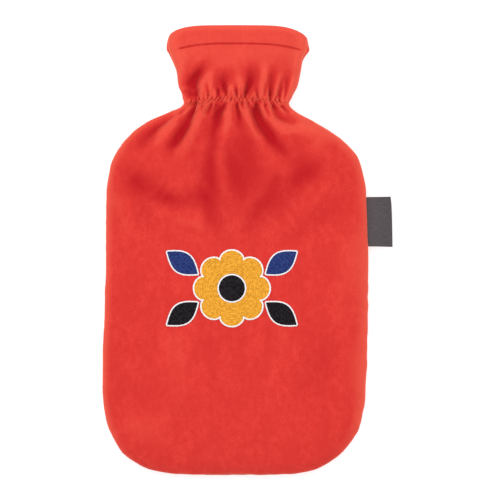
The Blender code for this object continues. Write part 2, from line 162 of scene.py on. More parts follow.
# ---------------------------------------------------------------- small folds, for the eye alone
SMALL_FOLDS = [
    (-22.2, 157, -22.9, 163, -23.8, 173, 2.2, 1.1, 1),
    (-14.8, 157.4, -14.7, 160, -14.5, 165.5, 1.5, 0.9, 0.9),
    (-7.6, 157.8, -8.3, 162, -10, 170, 1.7, 1, 1),
    (0.8, 157.6, 0.2, 162, -0.8, 170, 1.8, 1, 1),
    (7, 157.2, 8.4, 162.5, 12.2, 173, 1.6, 1, 1.2),
    (17.6, 157, 17.2, 160.5, 16.6, 167, 1.6, 1, 1),
    (23.2, 157, 23.6, 162, 24.2, 171, 1.8, 1, 1),
    (39, 156, 41.4, 163, 43.8, 178, 1.9, 1.1, 1.1),
    (-44, 160.6, -40.6, 159.4, -35.6, 155.6, 2, 1.7, 1.7),
    (-38, 160, -39, 168, -37, 177, 1, 3, 3),
    (-41, 149.6, -43, 147, -48, 143, 1.7, 1.3, 1.3),
    (-26.2, 151.8, -27.2, 148.5, -29.8, 141.5, 1.9, 1.1, 1),
    (-19.7, 152.2, -21, 148.5, -24.4, 141, 2.1, 1.1, 1),
    (-7.6, 152.8, -8, 149.5, -9.4, 143.5, 1.7, 1, 1),
    (5.3, 153, 5.5, 150, 6.4, 145, 1.5, 0.9, 0.9),
    (10, 152.8, 10.3, 150.5, 11.4, 146.5, 1.3, 1.1, 1.1),
    (23.6, 152, 25.2, 146, 29.4, 136.5, 2.2, 1.1, 1.4),
    (37.2, 149.8, 41, 147.4, 46, 145, 1.9, 1.5, 1.3),
    (-9.4, 152.4, -11.6, 146, -17, 138, 1.8, 1.3, 1),
    (16.4, 152.2, 18.2, 146, 23, 137, 1.2, 1, 1.6),
    (1.2, 152.4, 1.8, 146.5, 4.6, 135, 1.5, 0.9, 0.9),
    (-32.6, 151.6, -34.2, 147.5, -39, 139, 1.7, 1.2, 1.1),
    (-25.6, 157.2, -25.2, 163, -26.2, 172, 1, 0.9, 0.9),
]

SMALL_SHADE = 0.9  # painted shade: how much darker the small folds are painted than their depth alone would make them

# Soft folds, most of them broad: each sags, or lifts where its depth is negative
BODY_FOLDS = [
    (8, 128, 4, 96, 0, 48, 1.2, 20, 22),
    (-87, 93, -68, 79, -42, 71, 1.6, 9, 8),
    (-42, 82, -33, 77, -18, 64, 0.6, 7, 6),
    (-80.9, 65.2, -72, 53, -61.9, 40.8, 0.8, 7, 6),
    (-26.7, 80, -16.4, 58, -6.6, 39, 0.7, 5, 3),
    (47, 108, 58, 99, 72, 92, 1.3, 9, 8),
    (64, 100, 44, 84, 16, 66, 1.2, 7, 9),
    (20, 74, 12, 56, 5.3, 38.5, 0.9, 4, 5),
    (-13, 112, -10, 88, -3.6, 56, -1, 3.6, 3.6),
    (74, 66, 52, 54, 26, 42, 0.9, 9, 9),
    (-17, -34, -18, -47, -20, -66, 0.15, 5, 5),
    (6, -34, 5, -48, 3, -64, 0.3, 4, 4),
    (25, -32, 27, -45, 31, -60, 0.3, 5, 5),
    (84, -40, 74, -62, 66, -92, 0.7, 9, 9),
    (97, 46, 95, 8, 96, -32, -0.7, 14, 8),
    (-92, -104, -68, -114, -38, -112, -0.6, 14, 12),
    (-50, -30, -46, -85, -42, -130, -0.5, 15, 11),
    (62, -30, 60, -76, 58, -118, 0.6, 11, 13),
    (-44, 165, 0, 170, 46, 165, 0.8, 5.5, 5.5),
    (-34, 171, -28.5, 179, -18, 189, 1.6, 2.4, 2.4),
    (-54, 141.5, -68, 130, -87, 109, 1.3, 3.2, 2.8),
    (-25.5, 143, -33, 121, -45, 92, 2.2, 3, 3.6),
    (-38, 133, -47.5, 121.5, -62, 108, 1.4, 3.2, 2.2),
    (-14, 150, -19, 128, -21, 102, 1, 3.4, 3.4),
    (-60, 77, -44, 72, -20, 76, 1.5, 5.5, 5),
    (-24, 62, -14, 50, -2, 44, 0.6, 4, 4),
    (43, 126, 53, 120, 64, 109, 1.6, 4.2, 4.2),
    (25, 122, 33, 108, 41, 92, 0.8, 4, 4),
    (50, 92, 46, 77, 38, 56, 0.8, 5, 5),
    (54, 47, 38, 41, 20, 38, 0.6, 4.5, 4.5),
    (19.8, 151, 21, 144, 25, 136, -1.2, 1.3, 1.3),
    (-41, 158, -43.5, 173, -41.5, 192, 1, 3, 4.5),
]

# Small relief, in mm. A pair in brackets is a range that chance draws from, or left and right.
GATHER_WIDTH, GATHER_REACH_UP, GATHER_REACH_DOWN = (1.3, 2.2), (8, 20), (8, 18)
PUCKER_WIDTH, PUCKER_REACH_UP, PUCKER_REACH_DOWN = (0.5, 0.8), (3.5, 9), (3, 8)
PUCKER_END = (1.0, 1.6)  # reach of a pucker past the stitches
NEXT_VALLEY = (0.65, 1.4)  # from one gather or pucker to the next, as shares of their pitch
VALLEY_DEPTHS = (0.35, 1.0)  # as shares of the full depth
VALLEY_LEANS = (-0.15, 0.15)
DEEPEST_GATHER = 2.6
ELASTIC_WIDTH = 0.55  # of the groove that the elastic's thread sinks into
DIP_REACH, DIP_WANDER = 2.8, 1.4  # how far the cloth dips beside a sunken stitch
ROLL_RISE, ROLL_AWAY, ROLL_WIDTH = 0.8, 2.0, 1.6  # the roll of cloth between the dips
GROOVE_WIDTH = 0.6
GROOVE_ENDS = (6.5, 3.0)  # the hem's groove stops this far from the left and the right seam
HEM_RISE, HEM_EDGE, HEM_FADE = 0.45, 1.4, 30.0  # the doubled cloth stands higher
HEM_RIPPLE, RIPPLE_LENGTH, RIPPLE_REACH = 0.14, 3.6, 2.5
LIP_ROUNDING = 1.3
HALF_MOUTH = 55.0  # about half the mouth's width
SEAM_LENGTH = 900.0  # about the way around the side and bottom seams
TUCK_WIDTH = 1.5  # of the line where the seam pulls in
SEAM_PUCKER, PUCKER_AWAY, PUCKER_FADE = 0.55, 3.0, 6.0
SHORT_PUCKER, LONG_PUCKER = 6.5, 14.0  # their lengths along the seam
# The ridge of the seam allowance, pressed under the cloth beside the collar's seams
ALLOWANCE_RISE, ALLOWANCE_WIDTH, ALLOWANCE_EDGE = 0.8, 5.5, 1.2
ALLOWANCE_FROM_Y = 158.0
LIP_WALL = 2.0  # the cloth's thickness at the very edge of the mouth
LIP_SPAN = 0.12  # the sections over which it thins

# Painted highlight on the fleece: along the left and the right seam, on the collar and on the lip of
# the mouth. Above the flower, painted shade makes it darker.
DARKEST_DEPTH = 3.0  # a fold this deep gets the darkest painted shade
PAINTED_RIM_HIGHLIGHT, RIM_WIDTHS, RIM_FROM_Y, RIM_RUN = 0.5, (5.0, 7.0), -145.0, 40.0
PAINTED_COLLAR_LIGHT, COLLAR_FROM_Y, COLLAR_RUN = 0.28, 178.0, 16.0
PAINTED_LIP_HIGHLIGHT, LIP_WIDTH = 0.4, 3.2
PAINTED_BODY_SHADE, SHADE_Y, SHADE_REACH, SHADE_INSET = 0.35, 90.0, 34.0, 25.0

FRONT_SEED, BACK_SEED, STITCH_SEED, SATIN_SEED = 11, 57, 3, 5
UNEVENNESS = 0.12  # of the stitches' lengths, as a share
SATIN_JITTER = 0.05  # how far a satin thread strays from its direction, as a share
SATIN_HEIGHT = 1.5  # how high a satin thread stands over its width
STITCH_OVERLAP = 1.1  # length of a zigzag stitch over the distance it covers
SEWN_SPAN = np.linspace(-0.985, 0.985, 600)  # places across a panel where the sewing runs
HEM_SPAN = 0.92 * SEWN_SPAN  # the hem's stitching stops shorter
SEWN_SINK = 0.1  # how far the hem's stitches sink into their groove
ZIGZAG_FADE = 4.0  # the gathers swing with the zigzag this near to it
PATCH_LIFT = 0.1  # the underside of petals and leaves above the fleece
CENTRE_LIFT = 0.15  # the same for the flower's centre, with a patch's thickness added
PATCH_EDGE = 1.6  # width of a patch's rounded edge
EDGE_SHARE = 0.35  # a patch's thickness at its very edge, as a share
SUNK_WIDTH = 0.8  # of a line sewn into a patch
LEAF_SATIN, FLOWER_SATIN = 0.55, 0.62  # their outlines above the fleece
CENTRE_SATIN = 0.65  # the same for the flower's centre, with a patch's thickness added
VEIN = (0.12, 0.85)  # where a leaf's sewn vein starts and ends, as shares of its length
FILL_PITCH = 0.0007  # of the applique's fill stitches, in metres
RIB_PITCH = 0.0004  # of the ribbon's ribs, in metres

FLOOR_HALF, FLOOR_Z = 1500.0, -0.1  # half its width, and its height
LIT_POINT = (0.0, 0.03, 0.0)  # in metres, where the lamps point
SEAM_LEVEL = 0.016  # in metres; the picture's width is measured here


# ---------------------------------------------------------------- sizes and colours to change
def number(name, description, default, **limits):
    """A number that a user may change."""
    return bpy.props.FloatProperty(name=name, description=description, default=default, **limits)


def length(name, description, default, top):
    """A size in metres, from nothing up to top."""
    return number(name, description, default, min=0.0, max=top, precision=5, unit="LENGTH")


def colour(name, description, default):
    """A linear colour that a user may change."""
    return bpy.props.FloatVectorProperty(
        name=name, description=description, default=default, min=0.0, max=1.0, size=3, subtype="COLOR"
    )


class CoverClothSizes(bpy.types.PropertyGroup):
    """Sizes of the two fleece panels."""

    wall: length("Fleece", "Thickness of the fleece, pile included", 0.0022, 0.006)
    hem_wall: length("Hem", "Thickness of the doubled cloth at the mouth", 0.0036, 0.008)
    hem_groove: length("Hem Groove", "How far the hem stitching sinks in", 0.0008, 0.003)
    elastic_groove: length("Elastic Groove", "How far its stitches sink in", 0.0006, 0.004)
    pucker_pitch: length("Pucker Pitch", "Mean distance between two puckers", 0.0046, 0.01)
    pucker_depth: length("Pucker Depth", "Depth of the deepest puckers", 0.0014, 0.004)
    gather_pitch: length("Gather Pitch", "Mean distance between two gathers", 0.0062, 0.03)
    gather_depth: length("Gather Depth", "Depth of the deepest gathers", 0.0012, 0.004)
    seam_tuck: length("Seam Tuck", "How far the side seam pulls in", 0.0005, 0.003)
    slack: length("Slack", "Height of the broad unevenness of the body", 0.0004, 0.003)
    sewn_pitch: length("Sewn Rows", "Distance between mesh rows beside the sewing", 0.0004, 0.01)
    fine_pitch: length("Fine Rows", "Distance between mesh rows at the neck", 0.0008, 0.01)
    coarse_pitch: length("Coarse Rows", "Distance between mesh rows on the body", 0.002, 0.02)
    columns: bpy.props.IntProperty(
        name="Columns",
        description="Mesh columns across the front, an even number",
        default=244,
        min=20,
        max=400,
    )


class CoverSewingSizes(bpy.types.PropertyGroup):
    """Sizes of the threads and of the applique."""

    stitch: length("Stitch", "Length of one stitch of the hem", 0.0026, 0.006)
    stitch_pitch: length("Stitch Pitch", "Distance from one hem stitch to the next", 0.0032, 0.01)
    thread: length("Thread", "Width of the sewing thread", 0.00045, 0.002)
    zigzag: length("Zigzag", "Half height of the elastic's zigzag", 0.001, 0.004)
    zigzag_pitch: length("Zigzag Pitch", "Length of one zig and zag", 0.0034, 0.01)
    satin: length("Satin Width", "Width of the satin outlines", 0.0020, 0.004)
    satin_pitch: length("Satin Pitch", "Distance between two satin stitches", 0.00034, 0.002)
    satin_thread: length("Satin Thread", "Width of the satin thread", 0.00052, 0.002)
    patch: length("Patch", "Thickness of each applique piece", 0.0011, 0.003)
    petal_line: length("Petal Line", "Depth of the lines between petals", 0.00045, 0.001)
    ribbon: length("Ribbon", "Thickness of the label's ribbon", 0.0006, 0.002)


class CoverColours(bpy.types.PropertyGroup):
    """Colours of the cloths and threads."""

    fleece: colour("Fleece", "Pile seen straight on", (0.57, 0.029, 0.024))
    fleece_light: colour("Fleece Light", "Pile brushed towards the eye", (0.64, 0.044, 0.034))
    # The next two are painted colours: painted shade at the bottom of the folds, and a painted highlight
    # on ridges, along the seams, on the collar and on the lip.
    fleece_painted_shade: colour("Fleece Deep", "Pile at the bottom of the folds", (0.34, 0.0015, 0.008))
    fleece_painted_highlight: colour("Fleece Crest", "Pile spread over a ridge", (0.73, 0.094, 0.058))
    label: colour("Label", "Ribbon of the label", (0.047, 0.037, 0.041))
    yellow: colour("Petals", "Petals of the flower", (0.66, 0.29, 0.022))
    blue: colour("Upper Leaves", "Upper two leaves", (0.013, 0.027, 0.13))
    black: colour("Dark Pieces", "Flower's centre and lower leaves", (0.005, 0.003, 0.005))
    outline: colour("Outlines", "Thread of the satin outlines", (0.84, 0.82, 0.83))


class CoverStage(bpy.types.PropertyGroup):
    """Floor, light and camera."""

    floor: colour("Floor", "Colour of the floor", (0.5, 0.5, 0.5))
    glow: number("Glow", "Light from within the table", 0.62, min=0.0, max=5.0)
    sky: number("Sky", "Strength of the even light", 0.83, min=0.0, max=5.0)
    key: number("Key", "Power of the main light, in watts", 16.0, min=0.0)
    height: length("Camera Height", "Camera above the seam's level", 6.0, 20.0)
    span: length("Picture Width", "Width of the picture at the seam's level", 0.3912, 5.0)
    centre_x: number("Centre X", "Middle of the picture", 0.0033, unit="LENGTH")
    centre_y: number("Centre Y", "Middle of the picture", 0.0408, unit="LENGTH")


# ---------------------------------------------------------------- the cover's surface, in mm
def column(name):
    """One column of the section table."""
    return np.array([getattr(section, name) for section in SECTIONS], float)


def smooth_through(values, at):
    """A Catmull-Rom curve through evenly numbered values, read at numbers in between."""
    low = np.clip(np.floor(at).astype(int), 0, len(values) - 2)
    part = at - low
    padded = np.concatenate([[2 * values[0] - values[1]], values, [2 * values[-1] - values[-2]]])
    p0, p1, p2, p3 = (padded[low + k] for k in range(4))
    return 0.5 * (
        2 * p1
        + (p2 - p0) * part
        + (2 * p0 - 5 * p1 + 4 * p2 - p3) * part**2
        + (3 * p1 - p0 - 3 * p2 + p3) * part**3
    )


def at_section(name, v):
    """One column of the section table, read smoothly at the section numbers v."""
    return smooth_through(column(name), v)


def section_rows(sizes):
    """Section numbers of the mesh's rows, an even number of them in each section."""
    rows = []
    for i, (low, high) in enumerate(zip(SECTIONS, SECTIONS[1:])):
        pitch = sizes.fine_pitch if high.mid_y > FINE_FROM_Y else sizes.coarse_pitch
        if NECK_SECTION in (i, i + 1) or HEM_SECTION in (i, i + 1):
            pitch = sizes.sewn_pitch
        count = 2 * max(1, round((high.mid_y - low.mid_y) * MM / pitch / 2))
        rows += [i + k / count for k in range(count)]
    return np.array(rows + [len(SECTIONS) - 1.0])


def across(count):
    """Places across a panel from -1 to 1, crowded at both seams."""
    even = np.linspace(-1, 1, count + 1)
    return (1 - EDGE_CROWDING) * even + EDGE_CROWDING * np.sin(even * math.pi / 2)


def plan(u, v):
    """Plan position of the point u across on section v."""
    names = ("side_y", "mid_y", "lift", "left", "right", "square")
    side_y, mid_y, lift, left, right, square = (at_section(name, v) for name in names)
    x = np.where(u < 0, u * left, u * right)
    # unequal halves have the same spacing at the centre line, so that they join smoothly
    x = x + (left - right) / 2 * (1 - np.abs(u)) ** 2 * np.abs(u)
    side_y = side_y + np.where(u < 0, lift, 0)
    return x, mid_y + (side_y - mid_y) * np.abs(u) ** square


def past(section, u, y):
    """How far points lie beyond a section's line, towards the mouth."""
    return y - plan(u, np.full_like(u, section))[1]


def seam_outline():
    """The seam line in plan: down the left side, along the bottom and up the right side."""
    v = np.linspace(len(SECTIONS) - 1, 0, 400)
    u = np.sin(np.linspace(-math.pi / 2, math.pi / 2, 300))
    left = np.stack(plan(-np.ones_like(v), v), 1)
    bottom = np.stack(plan(u, np.zeros_like(u)), 1)
    right = np.stack(plan(np.ones_like(v), v[::-1]), 1)
    return np.concatenate([left, bottom[1:-1], right])


def nearest_on(path, points):
    """Distance to a path, share of the path's length reached there, and the side, + on its left."""
    start, run = path[:-1], np.diff(path, axis=0)
    lengths = np.linalg.norm(run, axis=1)
    reached = np.concatenate([[0], np.cumsum(lengths)])
    found = []
    for some in np.array_split(points, 1 + len(points) * len(run) // 2_000_000):
        offset = some[:, None] - start
        along = np.clip((offset * run).sum(2) / lengths**2, 0, 1)
        away = offset - along[..., None] * run
        distance = np.linalg.norm(away, axis=2)
        best = distance.argmin(1)
        row = np.arange(len(some))
        turn = run[best, 0] * offset[row, best, 1] - run[best, 1] * offset[row, best, 0]
        share = (reached[best] + along[row, best] * lengths[best]) / reached[-1]
        found.append(np.stack([distance[row, best], share, np.where(turn < 0, -1.0, 1.0)]))
    return np.concatenate(found, axis=1)


def rounded(distance, roll, power):
    """Share of the full height reached at a distance in from the seam."""
    inward = ramp(distance, roll)
    return (1 - (1 - inward) ** power) ** (1 / power)


def hump(gap, width):
    """A smooth bump: 1 where there is no gap, and nearly nothing two widths away."""
    return np.exp(-((gap / width) ** 2))


def ramp(value, run):
    """Grows from 0 to 1 while the value goes from 0 to run."""
    return np.clip(value / run, 0, 1)


def fold_path(fold):
    """Points on the parabola through a fold's start, middle and end."""
    t = np.linspace(0, 1, FOLD_STEPS + 1)[:, None]
    start, middle, end = np.array([[fold.x0, fold.y0], [fold.x1, fold.y1], [fold.x2, fold.y2]])
    handle = 2 * middle - (start + end) / 2
    return (1 - t) ** 2 * start + 2 * t * (1 - t) * handle + t**2 * end


def fold_relief(points, folds):
    """How far the folds move each plan point out of the cloth, in millimetres."""
    relief = np.zeros(len(points))
    for fold in (Fold(*row) for row in folds):
        path = fold_path(fold)
        far = 4 * max(fold.left, fold.right) * (1 + FOLD_SPREAD)
        inside = (points > path.min(0) - far) & (points < path.max(0) + far)
        near = np.flatnonzero(inside.all(1))
        distance, share, side = nearest_on(path, points[near])
        right_side = side * (path[0, 1] - path[-1, 1]) > 0
        reach = np.where(right_side, fold.right, fold.left) * (1 + FOLD_SPREAD * share)
        crest = CREST_SHARE * hump(distance / reach - 2, 1)
        fade = (1 - share**3) ** 2 * np.clip(0.5 + share / START_SHARE, 0, 1)
        relief[near] += fold.depth * fade * (crest - hump(distance, reach))
    return relief


def cover_surface(u, v, front):
    """One panel's outer surface without its folds, and the distance in from the seam."""
    x, y = plan(u, v)
    distance, along, _ = nearest_on(seam_outline(), np.stack([x, y], 1))
    distance[(np.abs(u) == 1) | (v == 0)] = 0
    seam_z = at_section("seam_z", v)
    if front:
        height = rounded(distance, at_section("roll", v), FRONT_POWER)
        z = seam_z + SEAM_GAP / 2 + at_section("rise", v) * height
    else:
        depth = rounded(distance, BACK_ROLL, BACK_POWER)
        z = np.maximum(seam_z - SEAM_GAP / 2 - at_section("drop", v) * depth, 0)
        x = x + np.sign(u) * at_section("spill", v) * 4 * depth * (1 - depth)
    return np.stack([x, y, z], 1), distance, along


def grid_normals(points, shape, front):
    """Outward directions of a surface given as rows of points; level along the seam."""
    grid = points.reshape(*shape, 3)
    along_v, along_u = np.gradient(grid, axis=0), np.gradient(grid, axis=1)
    normal = np.cross(along_u, along_v) * (1 if front else -1)
    normal[:, [0, -1]] = np.cross(along_v[:, [0, -1]], (0, 0, 1)) * np.array([-1, 1])[None, :, None]
    normal[0] = np.cross(along_u[0], (0, 0, 1))
    normal[0, 0] = normal[0, 1] + normal[1, 0]
    normal[0, -1] = normal[0, -2] + normal[1, -1]
    normal[0, :, 2] = 0
    return (normal / np.linalg.norm(normal, axis=2, keepdims=True)).reshape(-1, 3)


# ---------------------------------------------------------------- small relief, in mm
def wander(at, pitch, seed):
    """A smooth uneven line between about -1 and 1 with a turn every pitch."""
    chance = np.random.default_rng(seed)
    numbers = (at + 100) / pitch
    return smooth_through(chance.uniform(-1, 1, int(numbers.max()) + 3), numbers)


def unevenness(points, seed, waves=18, shortest=20.0, longest=75.0):
    """Broad soft lumps, about 1 high, from waves that cross at all angles."""
    chance = np.random.default_rng(seed)
    total = np.zeros(len(points))
    for _ in range(waves):
        angle, wave = chance.uniform(0, math.pi), chance.uniform(shortest, longest)
        phase = chance.uniform(0, 2 * math.pi)
        place = points[:, 0] * math.cos(angle) + points[:, 1] * math.sin(angle)
        total += wave * np.sin(2 * math.pi * place / wave + phase)
    return total / total.std() / 2


def valleys(place, gap, pitch, depth, width, above, below, seed):
    """Narrow valleys across a gathered line, each with its own place, depth, lean and reach.

    place runs along the line and gap away from it. The others are sizes, or a range of them.
    """
    chance = np.random.default_rng(seed)
    relief = np.zeros(len(place))
    at = place.min() + 0.5 * pitch
    while at < place.max():
        deep = depth * chance.uniform(*VALLEY_DEPTHS)
        wide = chance.uniform(*width)
        reach = np.where(gap > 0, chance.uniform(*above), chance.uniform(*below))
        lean = chance.uniform(*VALLEY_LEANS)
        away = np.abs(gap) / reach
        beside = (place - at - lean * gap) / (wide * (1 + away))
        crests = 0.3 * hump(np.abs(beside) - 1.9, 1)
        relief += deep * hump(away, 1) * (crests - hump(beside, 1))
        at += pitch * chance.uniform(*NEXT_VALLEY)
    return relief


def zigzag_phase(place, sewing):
    """Turns of the elastic's zigzag along the neck, in radians, a little uneven."""
    return 2 * math.pi * place / (sewing.zigzag_pitch / MM) + 0.9 * wander(place, 7.0, 23)


def gathered_relief(u, y, sizes, sewing, seed):
    """Gathers on both sides of the elastic, and the puckers between its sunken stitches."""
    gap = past(NECK_SECTION, u, y)
    place = u * SECTIONS[NECK_SECTION].left
    line = place, gap, sizes.gather_pitch / MM, sizes.gather_depth / MM, GATHER_WIDTH
    relief = valleys(*line, GATHER_REACH_UP, GATHER_REACH_DOWN, seed + 2)
    swing = np.sin(zigzag_phase(place, sewing))
    gap = gap - sewing.zigzag / MM * swing * hump(gap, ZIGZAG_FADE)
    depth = sizes.pucker_depth / MM
    line = place, gap, sizes.pucker_pitch / MM, depth, PUCKER_WIDTH
    relief += valleys(*line, PUCKER_REACH_UP, PUCKER_END, seed)
    relief += valleys(*line, PUCKER_END, PUCKER_REACH_DOWN, seed + 1)
    # above the stitches the cloth dips where the zigzag is high, and below them where it is low
    dip = ((1 + swing * np.tanh(gap / 0.5)) / 2) ** 3
    reach = DIP_REACH + DIP_WANDER * wander(place, 4.3, seed + 3)
    relief -= depth * (0.6 + 0.4 * wander(place, 3.1, seed + 4)) * dip * hump(gap, reach)
    relief += ROLL_RISE * (1 - dip) * hump(np.abs(gap) - ROLL_AWAY, ROLL_WIDTH)
    relief = np.where(relief < 0, -DEEPEST_GATHER * np.tanh(-relief / DEEPEST_GATHER), relief)
    return relief - sizes.elastic_groove / MM * hump(gap, ELASTIC_WIDTH)


def hem_groove(u, y, distance, sizes):
    """The stitched groove across the front or back, which stops short of the side seams."""
    short = ramp(distance - np.where(u < 0, *GROOVE_ENDS), 2)
    return -sizes.hem_groove / MM * hump(past(HEM_SECTION, u, y), GROOVE_WIDTH) * short


def hem_relief(u, y, seed):
    """The doubled cloth above the hem's stitches, its ripples and the rounded lip of the mouth."""
    gap = past(HEM_SECTION, u, y)
    relief = HEM_RISE * ramp(gap, HEM_EDGE) * hump(np.clip(gap, 0, None), HEM_FADE)
    ripples = wander(u * HALF_MOUTH, RIPPLE_LENGTH, seed)
    relief += HEM_RIPPLE * ripples * hump(gap, RIPPLE_REACH)
    return relief - LIP_ROUNDING * hump(past(LIP_SECTION, u, y), 1.0)


def seam_relief(points, distance, along, seam_z, sizes, seed):
    """The tuck of the side seam, its allowance pressed under the cloth, and its puckers."""
    chord = np.hypot(distance, points[:, 2] - seam_z)
    relief = -sizes.seam_tuck / MM * hump(chord, TUCK_WIDTH)
    around = along * SEAM_LENGTH
    pucker = 0.6 * wander(around, SHORT_PUCKER, seed) + 0.4 * wander(around, LONG_PUCKER, seed + 1)
    relief += SEAM_PUCKER * pucker * hump(chord - PUCKER_AWAY, PUCKER_FADE)
    collar = ramp(points[:, 1] - ALLOWANCE_FROM_Y, 8)
    ridge = ramp(ALLOWANCE_WIDTH - distance, ALLOWANCE_EDGE) * ramp(chord, 3)
    return relief + ALLOWANCE_RISE * collar * ridge


def painted_light_and_shade(u, y, distance, front):
    """Painted highlight on the fleece, from 0 to about 1, less the painted shade above the flower."""
    rim = hump(distance, np.where(u < 0, *RIM_WIDTHS))
    light = PAINTED_RIM_HIGHLIGHT * ramp(y - RIM_FROM_Y, RIM_RUN) * rim
    if front:
        light += PAINTED_COLLAR_LIGHT * ramp(y - COLLAR_FROM_Y, COLLAR_RUN)
        light += PAINTED_LIP_HIGHLIGHT * hump(past(LIP_SECTION, u, y), LIP_WIDTH)
        light -= PAINTED_BODY_SHADE * hump(y - SHADE_Y, SHADE_REACH) * ramp(distance, SHADE_INSET)
    return light


@lru_cache(maxsize=2)
def finished_panel(front):
    """Rows, columns, outer points, outward directions and painted light and shade of one panel, in mm.
    """
    sizes, sewing = bpy.context.scene.cover_cloth, bpy.context.scene.cover_sewing
    seed = FRONT_SEED if front else BACK_SEED
    rows = section_rows(sizes)
    columns = across(sizes.columns if front else sizes.columns * 3 // 4 // 2 * 2)
    shape = (len(rows), len(columns))
    v, u = (a.ravel() for a in np.meshgrid(rows, columns, indexing="ij"))
    outer, distance, along = cover_surface(u, v, front)
    normal = grid_normals(outer, shape, front)
    place, y = outer[:, :2], outer[:, 1]
    folds = fold_relief(place, FRONT_FOLDS + BODY_FOLDS if front else BACK_FOLDS)
    small = fold_relief(place, SMALL_FOLDS if front else [])
    gathers = gathered_relief(u, y, sizes, sewing, seed)
    groove = hem_groove(u, y, distance, sizes)
    calm = ramp(distance, SEAM_CALM)
    relief = (folds + small + gathers) * calm + groove + hem_relief(u, y, seed + 5)
    relief += sizes.slack / MM * unevenness(place, seed + 6) * calm
    rim_z = np.repeat(outer.reshape(*shape, 3)[:, 0, 2], len(columns))
    relief += seam_relief(outer, distance, along, rim_z, sizes, seed + 7)
    moved = outer + normal * relief[:, None]
    moved[:, 2] = np.maximum(moved[:, 2], 0)
    # painted shade in the folds, the gathers and the hem's groove, painted highlight on the folds'
    # crests, then the painted light and shade along the seams, the collar, the lip and above the flower
    shaded = folds + (1 + SMALL_SHADE) * small + gathers
    painted_shading = np.clip(shaded / DARKEST_DEPTH, -1, 0.4) * calm + groove
    painted_shading += painted_light_and_shade(u, y, distance, front)
    return rows, columns, moved.reshape(*shape, 3), normal.reshape(*shape, 3), painted_shading


def on_panel(front, u, v):
    """Points and outward directions on a finished panel at places u and v."""
    rows, columns, points, _, _ = finished_panel(front)
    turned = np.gradient(points, axis=0), np.gradient(points, axis=1)
    facing = np.cross(turned[1], turned[0]) * (1 if front else -1)
    r = np.clip(np.interp(v, rows, np.arange(len(rows))), 0, len(rows) - 1.001)
    c = np.clip(np.interp(u, columns, np.arange(len(columns))), 0, len(columns) - 1.001)
    r0, c0 = r.astype(int), c.astype(int)
    fr, fc = (r - r0)[:, None], (c - c0)[:, None]

    def between(grid):
        low = grid[r0, c0] * (1 - fc) + grid[r0, c0 + 1] * fc
        high = grid[r0 + 1, c0] * (1 - fc) + grid[r0 + 1, c0 + 1] * fc
        return low * (1 - fr) + high * fr

    facing = between(facing)
    return between(points), facing / np.linalg.norm(facing, axis=1, keepdims=True)


def on_front(x, y):
    """Points and outward directions on the finished front at plan places, in mm."""
    numbers = np.arange(len(SECTIONS))

    def read(name):
        return np.interp(v, numbers, column(name))

    v = np.interp(y, column("mid_y"), numbers)
    for _ in range(4):
        u = np.clip(x / np.where(x < 0, read("left"), read("right")), -1, 1)
        drop = np.abs(u) ** read("square") * (read("mid_y") - read("side_y"))
        v = np.interp(y + drop, column("mid_y"), numbers)
    return on_panel(True, u, v)


# ---------------------------------------------------------------- meshes
def add_object(name, data):
    """A new object in the scene."""
    made = bpy.data.objects.new(name, data)
    bpy.context.scene.collection.objects.link(made)
    return made


def add_piece(name, points, faces, material, sharp=60):
    """A mesh object from points in millimetres, at the origin and shaded smooth."""
    mesh = bpy.data.meshes.new(name)
    mesh.from_pydata((np.asarray(points) * MM).tolist(), [], faces)
    mesh.validate()
    mesh.shade_smooth()
    mesh.set_sharp_from_angle(angle=math.radians(sharp))
    mesh.materials.append(material)
    return add_object(name, mesh)


def keep_numbers(piece, name, numbers):
    """Stores one number for each point of a piece, for its material to read."""
    attribute = piece.data.attributes.new(name, "FLOAT", "POINT")
    attribute.data.foreach_set("value", np.asarray(numbers, np.float32))


def ring_faces(first, second):
    """Quads between two closed rings of point numbers."""
    following = np.roll(first, -1), np.roll(second, -1)
    return np.stack([first, following[0], following[1], second], 1).tolist()


def panel_faces(rows, columns, front):
    """Faces of a fine outer grid, of an inner one with half its rows and columns, and the rim."""
    number = np.arange(rows * columns).reshape(rows, columns)
    coarse = number.size + np.arange(((rows + 1) // 2) * ((columns + 1) // 2))
    coarse = coarse.reshape((rows + 1) // 2, (columns + 1) // 2)
    turn = 1 if front else -1
    faces = []
    for grid, way in ((number, turn), (coarse, -turn)):
        corners = grid[:-1, :-1], grid[:-1, 1:], grid[1:, 1:], grid[1:, :-1]
        faces += np.stack(corners, -1).reshape(-1, 4)[:, ::way].tolist()
    fine_edge = np.concatenate([number[0], number[1:, -1], number[-1, -2::-1], number[-2:0:-1, 0]])
    edge = np.concatenate([coarse[0], coarse[1:, -1], coarse[-1, -2::-1], coarse[-2:0:-1, 0]])
    for k in range(len(edge)):
        fine = [fine_edge[2 * k], fine_edge[2 * k + 1], fine_edge[(2 * k + 2) % len(fine_edge)]]
        rim = [edge[k], edge[(k + 1) % len(edge)]]
        faces.append([int(n) for n in (fine[::-1] + rim)][::turn])
    return faces


